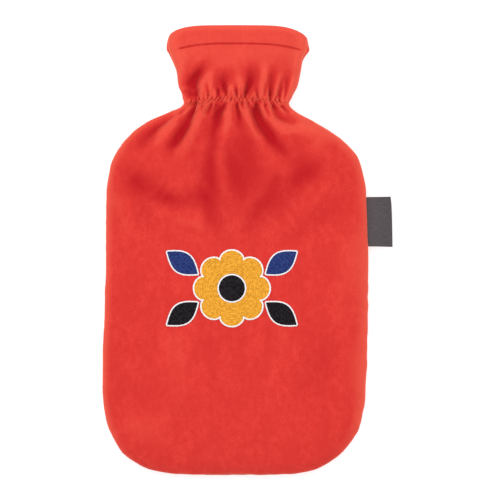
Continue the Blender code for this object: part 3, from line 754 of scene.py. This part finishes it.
def make_panel(name, front, material, context):
    """One fleece panel, fine outside and coarser inside."""
    sizes = context.scene.cover_cloth
    rows, columns, outer, normal, painted_shading = finished_panel(front)
    v = np.repeat(rows[::2], len(columns[::2]))
    thin, thick = sizes.wall / MM, sizes.hem_wall / MM
    wall = thin + (thick - thin) * ramp(v - HEM_SECTION, 0.5)
    wall -= (thick - LIP_WALL) * ramp(v - rows[-1] + LIP_SPAN, LIP_SPAN)
    behind, facing = (grid[::2, ::2].reshape(-1, 3) for grid in (outer, normal))
    inner = behind - facing * wall[:, None]
    rim_z = np.repeat(outer[::2, 0, 2], len(columns[::2]))
    inner[:, 2] = (np.maximum if front else np.minimum)(inner[:, 2], rim_z)
    points = np.concatenate([outer.reshape(-1, 3), inner])
    piece = add_piece(name, points, panel_faces(len(rows), len(columns), front), material)
    # painted light and shade for the fleece's colour; none on the inside
    keep_numbers(piece, "painted_shading", np.concatenate([painted_shading, np.zeros(len(inner))]))
    return piece


# ---------------------------------------------------------------- applique and label, in mm
def around_flower(angle, radius):
    """Points around the middle of the flower."""
    return FLOWER_MIDDLE + np.stack([radius * np.cos(angle), radius * np.sin(angle)], 1)


def full_turn(points):
    """Equal steps of angle, once around."""
    return np.linspace(0, 2 * math.pi, points, endpoint=False)


def flower_outline(points=256):
    """The petals' edge."""
    angle = full_turn(points)
    lobe = np.abs(np.cos(angle * PETALS / 2)) ** PETAL_FULLNESS
    return around_flower(angle, FLOWER_RADIUS * (1 - PETAL_NOTCH + PETAL_NOTCH * lobe))


def disc_outline(radius, points=128):
    """A circle around the flower's middle."""
    return around_flower(full_turn(points), radius)


def leaf_outline(side, end, points=48):
    """A pointed leaf from beside the petals to its tip; side and end are 1 or -1."""
    tip = FLOWER_MIDDLE + np.array([side * LEAF_TIP_X, end * LEAF_TIP_Y])
    notch = math.pi / PETALS  # direction of the notch between the first two petals
    away = np.array([side * math.cos(notch), end * math.sin(notch)])
    root = FLOWER_MIDDLE + LEAF_ROOT_RADIUS * away
    run = tip - root
    sideways = np.array([-run[1], run[0]]) / np.linalg.norm(run)
    t = np.linspace(0, 1, points + 1)[:, None]
    bow = LEAF_WIDTH / 2 * np.sin(math.pi * t) * sideways
    return np.concatenate([(root + t * run + bow)[:-1], (root + t * run - bow)[:0:-1]]), root, tip


def petal_lines():
    """Straight lines from beside the flower's centre to each notch."""
    angles = (np.arange(PETALS) + 0.5) * 2 * math.pi / PETALS
    ends = CENTRE_RADIUS + 2.5, FLOWER_RADIUS * (1 - PETAL_NOTCH) - 1.5
    return [around_flower(np.array([angle, angle]), np.array(ends)) for angle in angles]


def make_patch(name, outline, centre, base, sunk_lines, material, context, rings=16):
    """A sewn-on piece of cloth with a soft rounded edge, sunk along its sewn lines."""
    sizes = context.scene.cover_sewing
    if np.cross(outline[1] - outline[0], outline[2] - outline[1]) < 0:
        outline = outline[::-1]
    shares = np.sin(np.linspace(0, 1, rings + 1)[1:] * math.pi / 2)
    flat = np.concatenate([centre[None], *[centre + s * (outline - centre) for s in shares]])
    cloth, _ = on_front(*flat.T)
    edge, _, _ = nearest_on(np.concatenate([outline, outline[:1]]), flat)
    fullness = EDGE_SHARE + (1 - EDGE_SHARE) * rounded(edge, PATCH_EDGE, 2)
    top = base + sizes.patch / MM * fullness
    for line in sunk_lines:
        distance, _, _ = nearest_on(line, flat)
        top -= sizes.petal_line / MM * hump(distance, SUNK_WIDTH)
    points = [np.column_stack([flat, cloth[:, 2] + height]) for height in (top, base)]
    n, total = len(outline), len(flat)
    ring = [1 + n * k + np.arange(n) for k in range(rings)]
    faces = [[0, int(a), int(b)] for a, b in zip(ring[0], np.roll(ring[0], -1))]
    for first, second in zip(ring, ring[1:]):
        faces += [face[::-1] for face in ring_faces(first, second)]
    faces += [[total + k for k in reversed(face)] for face in list(faces)]
    faces += ring_faces(ring[-1], ring[-1] + total)
    return add_piece(name, np.concatenate(points), faces, material, sharp=50)


def label_profile(layer):
    """Points around the ribbon's two layers and its fold: how far out each is, and how far up."""
    half = layer + LABEL_GAP / 2
    reach = LABEL_OUT - half
    out = list(np.linspace(-LABEL_IN, reach, 16))
    bend = np.radians(np.linspace(75, -75, 9))
    profile = [(x, half) for x in out]
    profile += [(reach + half * math.cos(a), half * math.sin(a)) for a in bend]
    profile += [(x, -half) for x in reversed(out)]
    profile += [(x, -LABEL_GAP / 2) for x in out] + [(reach + 0.2, 0.0)]
    return profile + [(x, LABEL_GAP / 2) for x in reversed(out)]


def make_label(name, material, context):
    """The folded ribbon, which droops and flares a little towards its fold."""
    profile = label_profile(context.scene.cover_sewing.ribbon / MM)
    ys = np.linspace(LABEL_LOW_Y, LABEL_HIGH_Y, LABEL_STEPS + 1)
    v = np.interp(ys, column("side_y"), np.arange(len(SECTIONS)))
    shares = np.linspace(0, 1, len(ys))
    points = []
    for t, y, x, z in zip(shares, ys, at_section("right", v), at_section("seam_z", v)):
        selvedge = LABEL_SELVEDGE * hump(min(t, 1 - t) * LABEL_STEPS, 0.9)
        for out, up in profile:
            share = max(0.0, out / LABEL_OUT)
            droop = LABEL_DROOP * share**2 - LABEL_TWIST * share * math.sin(2.6 * t + 0.4)
            flare = LABEL_FLARE * share**2 * (0.5 - t)
            up += math.copysign(selvedge, up)
            points.append((x + LABEL_OFF + out, y - flare, z + up - droop))
    n = len(profile)
    rings = np.arange(len(points)).reshape(-1, n)
    faces = [face for pair in zip(rings, rings[1:]) for face in ring_faces(*pair)]
    faces += [rings[0, ::-1].tolist(), rings[-1].tolist()]
    return add_piece(name, points, faces, material, sharp=40)


# ---------------------------------------------------------------- thread, by Geometry Nodes
def add_node(tree, kind, inputs=None, **settings):
    """A node with its settings, and a value or a linked socket for each input."""
    node = tree.nodes.new(kind)
    for name, setting in settings.items():
        setattr(node, name, setting)
    for name, given in (inputs or {}).items():
        if isinstance(given, bpy.types.NodeSocket):
            tree.links.new(given, node.inputs[name])
        else:
            node.inputs[name].default_value = given
    return node


def thread_tree():
    """Lays one thread stitch on each point, along its "along" and standing on its "up"."""
    tree = bpy.data.node_groups.get("Thread Stitches")
    if tree:
        return tree
    tree = bpy.data.node_groups.new("Thread Stitches", "GeometryNodeTree")
    for name, kind, default in (
        ("Geometry", "Geometry", None),
        ("Length", "Float", 0.0026),
        ("Width", "Float", 0.0005),
        ("Height", "Float", 0.0005),
        ("Unevenness", "Float", UNEVENNESS),
        ("Seed", "Int", STITCH_SEED),
        ("Thread", "Material", None),
    ):
        socket = tree.interface.new_socket(name, in_out="INPUT", socket_type="NodeSocket" + kind)
        if default is not None:
            socket.default_value = default
    tree.interface.new_socket("Geometry", in_out="OUTPUT", socket_type="NodeSocketGeometry")
    given = add_node(tree, "NodeGroupInput").outputs
    sides = {k: given[name] for k, name in enumerate(("Length", "Width", "Height"))}
    size = add_node(tree, "ShaderNodeCombineXYZ", sides)
    inputs = {2: -1.0, 3: 1.0, "Seed": given["Seed"]}
    chance = add_node(tree, "FunctionNodeRandomValue", inputs, data_type="FLOAT")
    inputs = {0: chance.outputs[1], 1: given["Unevenness"], 2: 1.0}
    share = add_node(tree, "ShaderNodeMath", inputs, operation="MULTIPLY_ADD")
    inputs = {0: size.outputs[0], "Scale": share.outputs[0]}
    scale = add_node(tree, "ShaderNodeVectorMath", inputs, operation="SCALE")
    along, up = (
        add_node(tree, "GeometryNodeInputNamedAttribute", {"Name": name}, data_type="FLOAT_VECTOR")
        for name in ("along", "up")
    )
    ways = {"Primary Axis": along.outputs["Attribute"], "Secondary Axis": up.outputs["Attribute"]}
    turn = add_node(tree, "FunctionNodeAxesToRotation", ways, primary_axis="X", secondary_axis="Z")
    bead = add_node(tree, "GeometryNodeMeshUVSphere", {"Segments": 8, "Rings": 5, "Radius": 0.5})
    inputs = {
        "Points": given["Geometry"],
        "Instance": bead.outputs["Mesh"],
        "Rotation": turn.outputs[0],
        "Scale": scale.outputs[0],
    }
    made = add_node(tree, "GeometryNodeInstanceOnPoints", inputs).outputs["Instances"]
    for kind, more in (
        ("GeometryNodeRealizeInstances", {}),
        ("GeometryNodeSetShadeSmooth", {}),
        ("GeometryNodeSetMaterial", {"Material": given["Thread"]}),
        ("NodeGroupOutput", {}),
    ):
        node = add_node(tree, kind, {"Geometry": made, **more})
        made = node.outputs["Geometry"] if node.outputs else None
    return tree


def add_stitches(name, points, along, up, size, material, unevenness=UNEVENNESS):
    """Stitches of one size on points in millimetres, made by the tree and kept as a plain mesh."""
    mesh = bpy.data.meshes.new(name + "_points")
    mesh.from_pydata((points * MM).tolist(), [], [])
    for way_name, way in (("along", along), ("up", up)):
        attribute = mesh.attributes.new(way_name, "FLOAT_VECTOR", "POINT")
        attribute.data.foreach_set("vector", np.asarray(way, np.float32).ravel())
    piece = add_object(name, mesh)
    modifier = piece.modifiers.new("Thread Stitches", "NODES")
    modifier.node_group = thread_tree()
    values = dict(zip(("Length", "Width", "Height"), size))
    values.update({"Unevenness": unevenness, "Seed": STITCH_SEED, "Thread": material})
    for socket in modifier.node_group.interface.items_tree:
        if socket.in_out == "INPUT" and socket.name in values:
            modifier[socket.identifier] = values[socket.name]
    evaluated = piece.evaluated_get(bpy.context.evaluated_depsgraph_get())
    piece.data = bpy.data.meshes.new_from_object(evaluated)
    piece.modifiers.remove(modifier)
    piece.data.name = name
    bpy.data.meshes.remove(mesh)
    return piece


def unit(vectors):
    """The directions of some vectors."""
    return vectors / np.linalg.norm(vectors, axis=1, keepdims=True)


def even_points(path, pitch, closed=False):
    """Points every pitch along a path, and the path's direction at each."""
    if closed:
        path = np.concatenate([path, path[:1]])
    steps = np.linalg.norm(np.diff(path, axis=0), axis=1)
    reached = np.concatenate([[0], np.cumsum(steps)])
    count = max(2, round(reached[-1] / pitch))
    at = np.linspace(0, reached[-1], count, endpoint=not closed)
    points, ahead, behind = (
        np.stack([np.interp(at + step, reached, axis) for axis in path.T], 1)
        for step in (0, 0.2, -0.2)
    )
    return points, unit(ahead - behind)


def satin_outline(name, outlines, base, material, context):
    """White satin stitch over the edge of each outline, its threads across the edge."""
    sizes = context.scene.cover_sewing
    points, ways, ups = [], [], []
    for outline in outlines:
        flat, way = even_points(outline, sizes.satin_pitch / MM, closed=True)
        cloth, up = on_front(*flat.T)
        points.append(np.column_stack([flat, cloth[:, 2] + base]))
        ways.append(np.column_stack([-way[:, 1], way[:, 0], np.zeros(len(way))]))
        ups.append(up)
    points, ways, ups = (np.concatenate(a) for a in (points, ways, ups))
    chance = np.random.default_rng(SATIN_SEED)
    ways = unit(ways + chance.normal(0, SATIN_JITTER, ways.shape) * (1, 1, 0))
    size = (sizes.satin, sizes.satin_thread, sizes.satin_thread * SATIN_HEIGHT)
    return add_stitches(name, points, ways, ups, size, material, unevenness=0.1)


def hem_stitches(front, sizes):
    """Places, directions and size of the stitches along the hem's groove."""
    hem, _ = on_panel(front, HEM_SPAN, np.full_like(HEM_SPAN, HEM_SECTION))
    spots, way = even_points(hem, sizes.stitch_pitch / MM)
    at = np.interp(spots[:, 0], hem[:, 0], HEM_SPAN)
    _, up = on_panel(front, at, np.full_like(at, HEM_SECTION))
    return spots - up * SEWN_SINK, way, up, (sizes.stitch, sizes.thread, sizes.thread)


def elastic_stitches(front, sizes):
    """Places, directions and size of the stitches of the elastic's zigzag."""
    neck, above = SECTIONS[NECK_SECTION], SECTIONS[NECK_SECTION + 1]
    phase = zigzag_phase(SEWN_SPAN * neck.left, sizes)
    turns = math.pi * (np.arange(math.ceil(phase[0] / math.pi), phase[-1] // math.pi) + 0.5)
    rise = sizes.zigzag / MM / (above.mid_y - neck.mid_y)
    at = np.interp(turns, phase, SEWN_SPAN)
    knots, up = on_panel(front, at, NECK_SECTION + rise * np.sin(turns))
    middle, run = (knots[1:] + knots[:-1]) / 2, np.diff(knots, axis=0)
    reach = float(np.linalg.norm(run, axis=1).mean()) * MM * STITCH_OVERLAP
    return middle, unit(run), up[1:], (reach, sizes.thread, sizes.thread)


# ---------------------------------------------------------------- materials
def new_material(name, roughness, specular, sheen=0.0, sheen_roughness=0.5, sheen_tint=(1, 1, 1)):
    """A Principled material, its node tree, its shader and its Object coordinates."""
    material = bpy.data.materials.new(name)
    material.use_nodes = True
    tree = material.node_tree
    shader = tree.nodes["Principled BSDF"]
    shader.inputs["Roughness"].default_value = roughness
    shader.inputs["Specular IOR Level"].default_value = specular
    shader.inputs["Sheen Weight"].default_value = sheen
    shader.inputs["Sheen Roughness"].default_value = sheen_roughness
    shader.inputs["Sheen Tint"].default_value = (*sheen_tint, 1)
    return material, tree, shader, add_node(tree, "ShaderNodeTexCoord").outputs["Object"]


def shade(colour, share):
    """A darker or lighter share of a colour."""
    return tuple(share * c for c in colour)


def grain(tree, place, size, detail=2.0, stretch=(1, 1, 1)):
    """Noise with lumps of about the given size in metres; stretch makes it finer along an axis."""
    mapping = add_node(tree, "ShaderNodeMapping", {"Vector": place, "Scale": stretch})
    inputs = {"Vector": mapping.outputs["Vector"], "Scale": 1 / size, "Detail": detail}
    return add_node(tree, "ShaderNodeTexNoise", inputs).outputs["Fac"]


def spread(tree, value, low, high, new_low=0.0, new_high=1.0):
    """The value with low to high stretched over new_low to new_high."""
    ends = {"From Min": low, "From Max": high, "To Min": new_low, "To Max": new_high}
    return add_node(tree, "ShaderNodeMapRange", {"Value": value, **ends}).outputs["Result"]


def blend_colours(tree, share, first, second):
    """A mix of two colours, each a colour or a socket."""
    mix = add_node(tree, "ShaderNodeMix", {"Factor": share}, data_type="RGBA")
    sockets = [socket for socket in mix.inputs if socket.type == "RGBA"]
    for socket, given in zip(sockets, (first, second)):
        if isinstance(given, bpy.types.NodeSocket):
            tree.links.new(given, socket)
        else:
            socket.default_value = (*given, 1)
    return next(socket for socket in mix.outputs if socket.type == "RGBA")


def finish(tree, shader, base, heights=()):
    """Links the colour, and chains bumps, each a height socket and its depth in metres."""
    tree.links.new(base, shader.inputs["Base Color"])
    for height, depth in heights:
        bump = add_node(tree, "ShaderNodeBump", {"Height": height, "Distance": depth})
        if shader.inputs["Normal"].links:
            tree.links.new(shader.inputs["Normal"].links[0].from_socket, bump.inputs["Normal"])
        tree.links.new(bump.outputs["Normal"], shader.inputs["Normal"])


def fleece_material(colours):
    """Short brushed pile: mottled where it lies differently, with painted shade in the folds and painted
    highlights on crests, seams, collar and lip.
    """
    if "Red fleece" in bpy.data.materials:
        return bpy.data.materials["Red fleece"]
    material, tree, shader, place = new_material(
        "Red fleece", 0.95, 0.08, sheen=1.0, sheen_roughness=0.35, sheen_tint=(1.0, 0.27, 0.17)
    )
    pile = grain(tree, place, 0.0006)
    tufts = grain(tree, place, 0.0012, 3.0, (1.3, 0.9, 1.0))
    brushed = grain(tree, place, 0.005, 3.0, (1.1, 0.75, 1.0))
    broad = grain(tree, place, 0.02, 2.0, (1.3, 0.7, 1.0))
    # the painted light and shade that each panel carries
    painted_shading = add_node(tree, "ShaderNodeAttribute", attribute_name="painted_shading").outputs["Fac"]
    base = blend_colours(tree, spread(tree, brushed, 0.33, 0.7), colours.fleece, colours.fleece_light)
    for share, tone in (
        (spread(tree, tufts, 0.35, 0.65, 0.0, 0.55), shade(colours.fleece, 0.8)),
        (spread(tree, broad, 0.42, 0.62, 0.0, 0.5), shade(colours.fleece, 0.9)),
        # painted highlight, then painted shade
        (spread(tree, painted_shading, 0.08, 0.5, 0.0, 0.62), colours.fleece_painted_highlight),
        (spread(tree, painted_shading, 0.0, -1.0, 0.0, 0.85), colours.fleece_painted_shade),
    ):
        base = blend_colours(tree, share, base, tone)
    finish(tree, shader, base, [(brushed, 0.00012), (tufts, 0.0002), (pile, 0.0002)])
    return material


def thread_material(name, tone, roughness, specular, sheen):
    """Twisted sewing thread."""
    material, tree, shader, place = new_material(name, roughness, specular, sheen)
    base = blend_colours(tree, grain(tree, place, 0.0015), shade(tone, 0.78), tone)
    finish(tree, shader, base, [(grain(tree, place, 0.00025, 1.0), 0.00008)])
    return material


def applique_material(name, tone, **directions):
    """Dense fill stitching: fine parallel threads that catch the light unevenly."""
    material, tree, shader, place = new_material(name, 0.6, 0.05)
    to_middle = {"Vector": place, "Location": (-FLOWER_X * MM, -FLOWER_Y * MM, 0)}
    inputs = {
        "Vector": add_node(tree, "ShaderNodeMapping", to_middle).outputs["Vector"],
        "Scale": 0.7 / FILL_PITCH / (2 * math.pi),
        "Distortion": 1.6,
        "Detail": 2.0,
        "Detail Scale": 3.0,
    }
    rows = add_node(tree, "ShaderNodeTexWave", inputs, **directions).outputs["Fac"]
    mottle = grain(tree, place, 0.002, 3.0)
    light = tuple(min(1.0, 1.25 * c + 0.01) for c in tone)
    base = blend_colours(tree, spread(tree, mottle, 0.35, 0.65), shade(tone, 0.8), light)
    # painted shade between the rows of fill threads
    base = blend_colours(tree, spread(tree, rows, 0.0, 1.0, 0.35, 0.0), base, shade(tone, 0.5))
    finish(tree, shader, base, [(rows, 0.00018), (mottle, 0.0002)])
    return material


def ribbon_material(tone):
    """Close-woven satin ribbon: fine ribs across it and a slight gloss."""
    material, tree, shader, place = new_material("Grey ribbon", 0.5, 0.3, sheen=0.05)
    inputs = {"Vector": place, "Scale": 1 / RIB_PITCH / (2 * math.pi), "Distortion": 0.4}
    ribs = add_node(tree, "ShaderNodeTexWave", inputs, bands_direction="Y").outputs["Fac"]
    warp = grain(tree, place, 0.0012, 2.0, (0.3, 2.0, 1.0))
    worn = spread(tree, grain(tree, place, 0.008), 0.4, 0.7, 0.0, 0.5)
    base = blend_colours(tree, spread(tree, warp, 0.35, 0.65), shade(tone, 0.85), shade(tone, 1.35))
    base = blend_colours(tree, worn, base, tone)
    finish(tree, shader, base, [(ribs, 0.00006), (warp, 0.00008)])
    return material


def floor_material(tone, glow):
    """Matt light table, lit from within so that no shadow shows."""
    material, tree, shader, place = new_material("Studio floor", 0.85, 0.1)
    shader.inputs["Emission Color"].default_value = (1, 1, 1, 1)
    shader.inputs["Emission Strength"].default_value = glow
    finish(tree, shader, blend_colours(tree, grain(tree, place, 0.02, 3.0), shade(tone, 0.995), tone))
    return material


# ---------------------------------------------------------------- operators
def lay(piece, node):
    """Puts a finished piece in the place of its CAD node."""
    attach(piece, "root")
    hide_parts(node)


class COVER_OT_front_panel(bpy.types.Operator):
    """Builds the fleece front with its gathers, folds and hem."""

    bl_idname = "cover.front_panel"
    bl_label = "Front Panel"

    def execute(self, context):
        fleece = fleece_material(context.scene.cover_colours)
        lay(make_panel("front_cloth", True, fleece, context), "front_panel")
        return {"FINISHED"}


class COVER_OT_back_panel(bpy.types.Operator):
    """Builds the fleece back, flat where it lies."""

    bl_idname = "cover.back_panel"
    bl_label = "Back Panel"

    def execute(self, context):
        fleece = fleece_material(context.scene.cover_colours)
        lay(make_panel("back_cloth", False, fleece, context), "back_panel")
        return {"FINISHED"}


class COVER_OT_sewing(bpy.types.Operator):
    """Sews the hem of the mouth and the elastic's zigzag, front and back."""

    bl_idname = "cover.sewing"
    bl_label = "Hem and Elastic Stitches"

    def execute(self, context):
        sizes = context.scene.cover_sewing
        thread = thread_material("Red thread", context.scene.cover_colours.fleece, 0.9, 0.05, 0.0)
        for front, side in ((True, "front"), (False, "back")):
            for name, places in (("hem", hem_stitches), ("elastic", elastic_stitches)):
                stitches = add_stitches(f"{side}_{name}_stitches", *places(front, sizes), thread)
                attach(stitches, "root")
        return {"FINISHED"}


class COVER_OT_flower(bpy.types.Operator):
    """Builds the applique flower, its leaves and their satin outlines."""

    bl_idname = "cover.flower"
    bl_label = "Applique Flower"

    def execute(self, context):
        colours = context.scene.cover_colours
        around = {"wave_type": "RINGS", "rings_direction": "Z"}
        yellow = applique_material("Yellow applique", colours.yellow, **around)
        blue = applique_material("Blue applique", colours.blue, bands_direction="DIAGONAL")
        black = applique_material("Black applique", colours.black, bands_direction="DIAGONAL")
        white = thread_material("White satin thread", colours.outline, 0.4, 0.3, 0.2)
        thick = context.scene.cover_sewing.patch / MM
        flower, disc = flower_outline(), disc_outline(CENTRE_RADIUS)
        shape = flower, FLOWER_MIDDLE, PATCH_LIFT, petal_lines()
        lay(make_patch("flower_cloth", *shape, yellow, context), "flower_patch")
        shape = disc, FLOWER_MIDDLE, thick + CENTRE_LIFT, []
        centre = make_patch("flower_centre_cloth", *shape, black, context, rings=8)
        lay(centre, "flower_centre_patch")
        leaves = []
        for end, end_name, cloth, slot in (
            (1, "upper", blue, "blue_applique"),
            (-1, "lower", black, "black_applique"),
        ):
            for side, side_name in ((-1, "left"), (1, "right")):
                outline, root, tip = leaf_outline(side, end)
                leaves.append(outline)
                vein = root + np.outer(VEIN, tip - root)
                shape = outline, (root + tip) / 2, PATCH_LIFT, [vein]
                leaf = make_patch(f"leaf_cloth_{end_name}_{side_name}", *shape, cloth, context, rings=10)
                lay(leaf, f"leaf_patch_{end_name}_{side_name}")
        for name, paths, base in (
            ("leaf_outlines", leaves, LEAF_SATIN),
            ("flower_outline", [flower], FLOWER_SATIN),
            ("flower_centre_outline", [disc], thick + CENTRE_SATIN),
        ):
            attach(satin_outline(name, paths, base, white, context), "root")
        return {"FINISHED"}


class COVER_OT_label(bpy.types.Operator):
    """Builds the bare folded ribbon in the right-hand seam."""

    bl_idname = "cover.label"
    bl_label = "Seam Label"

    def execute(self, context):
        ribbon = ribbon_material(context.scene.cover_colours.label)
        lay(make_label("label_ribbon", ribbon, context), "seam_label")
        return {"FINISHED"}


class COVER_OT_declare(bpy.types.Operator):
    """Does nothing."""

    bl_idname = "cover.declare"
    bl_label = "Cloth Sizes"

    def execute(self, context):
        return {"FINISHED"}


class COVER_OT_stage(bpy.types.Operator):
    """Sets the floor, the lights and the camera straight above."""

    bl_idname = "cover.stage"
    bl_label = "Stage"

    def execute(self, context):
        stage = context.scene.cover_stage
        square = (-1, -1), (1, -1), (1, 1), (-1, 1)
        corners = [(x * FLOOR_HALF, y * FLOOR_HALF, FLOOR_Z) for x, y in square]
        floor = add_piece("floor", corners, [(0, 1, 2, 3)], floor_material(stage.floor, stage.glow))
        world = bpy.data.worlds.new("Studio")
        world.use_nodes = True
        background = world.node_tree.nodes["Background"].inputs
        background["Color"].default_value = (1, 1, 1, 1)
        background["Strength"].default_value = stage.sky
        context.scene.world = world
        for name, place, size, power in (
            ("key", (0.0, 0.25, 1.9), 0.9, stage.key),
            ("side", (-1.1, 0.7, 1.4), 1.1, stage.key * 0.45),
            ("edge", (1.3, 0.1, 0.6), 0.8, stage.key * 0.12),
        ):
            light = bpy.data.lights.new(name, "AREA")
            light.shape = "DISK"
            light.size = size
            light.energy = power
            lamp = add_object(name, light)
            lamp.location = place
            towards = Vector(LIT_POINT) - lamp.location
            lamp.rotation_euler = towards.to_track_quat("-Z", "Y").to_euler()
        lens = bpy.data.cameras.new("Camera")
        lens.sensor_width = 36.0
        lens.lens = lens.sensor_width * stage.height / stage.span
        lens.clip_end = 50.0
        camera = add_object("Camera", lens)
        camera.location = (stage.centre_x, stage.centre_y, stage.height + SEAM_LEVEL)
        context.scene.camera = camera
        context.scene.view_settings.view_transform = "Standard"
        return {"FINISHED"}


class COVER_PT_sidebar(bpy.types.Panel):
    """Lists the cover's sizes, colours and pieces."""

    bl_idname = "COVER_PT_sidebar"
    bl_label = "Bottle Cover"
    bl_space_type = "VIEW_3D"
    bl_region_type = "UI"
    bl_category = "Bottle Cover"

    def draw(self, context):
        for title, group in GROUPS.items():
            box = self.layout.box()
            box.label(text=group.__doc__)
            for name in group.__annotations__:
                box.prop(getattr(context.scene, title), name)
        for operator in OPERATORS:
            self.layout.operator(operator.bl_idname)


GROUPS = {
    "cover_cloth": CoverClothSizes,
    "cover_sewing": CoverSewingSizes,
    "cover_colours": CoverColours,
    "cover_stage": CoverStage,
}
OPERATORS = [
    COVER_OT_stage,
    COVER_OT_front_panel,
    COVER_OT_back_panel,
    COVER_OT_sewing,
    COVER_OT_flower,
    COVER_OT_label,
    COVER_OT_declare,
]


def register():
    """Adds the sizes, the operators and the panel to Blender."""
    for made in (*GROUPS.values(), *OPERATORS, COVER_PT_sidebar):
        bpy.utils.register_class(made)
    for name, group in GROUPS.items():
        setattr(bpy.types.Scene, name, bpy.props.PointerProperty(type=group))


def unregister():
    """Takes them away again."""
    for name in GROUPS:
        delattr(bpy.types.Scene, name)
    for made in (COVER_PT_sidebar, *OPERATORS[::-1], *list(GROUPS.values())[::-1]):
        bpy.utils.unregister_class(made)


def main():
    """Builds the cover."""
    register()
    bpy.ops.cover.stage()
    bpy.ops.cover.front_panel()
    bpy.ops.cover.back_panel()
    bpy.ops.cover.sewing()
    bpy.ops.cover.flower()
    bpy.ops.cover.label()
    bpy.ops.cover.declare()


if __name__ == "__main__":
    main()
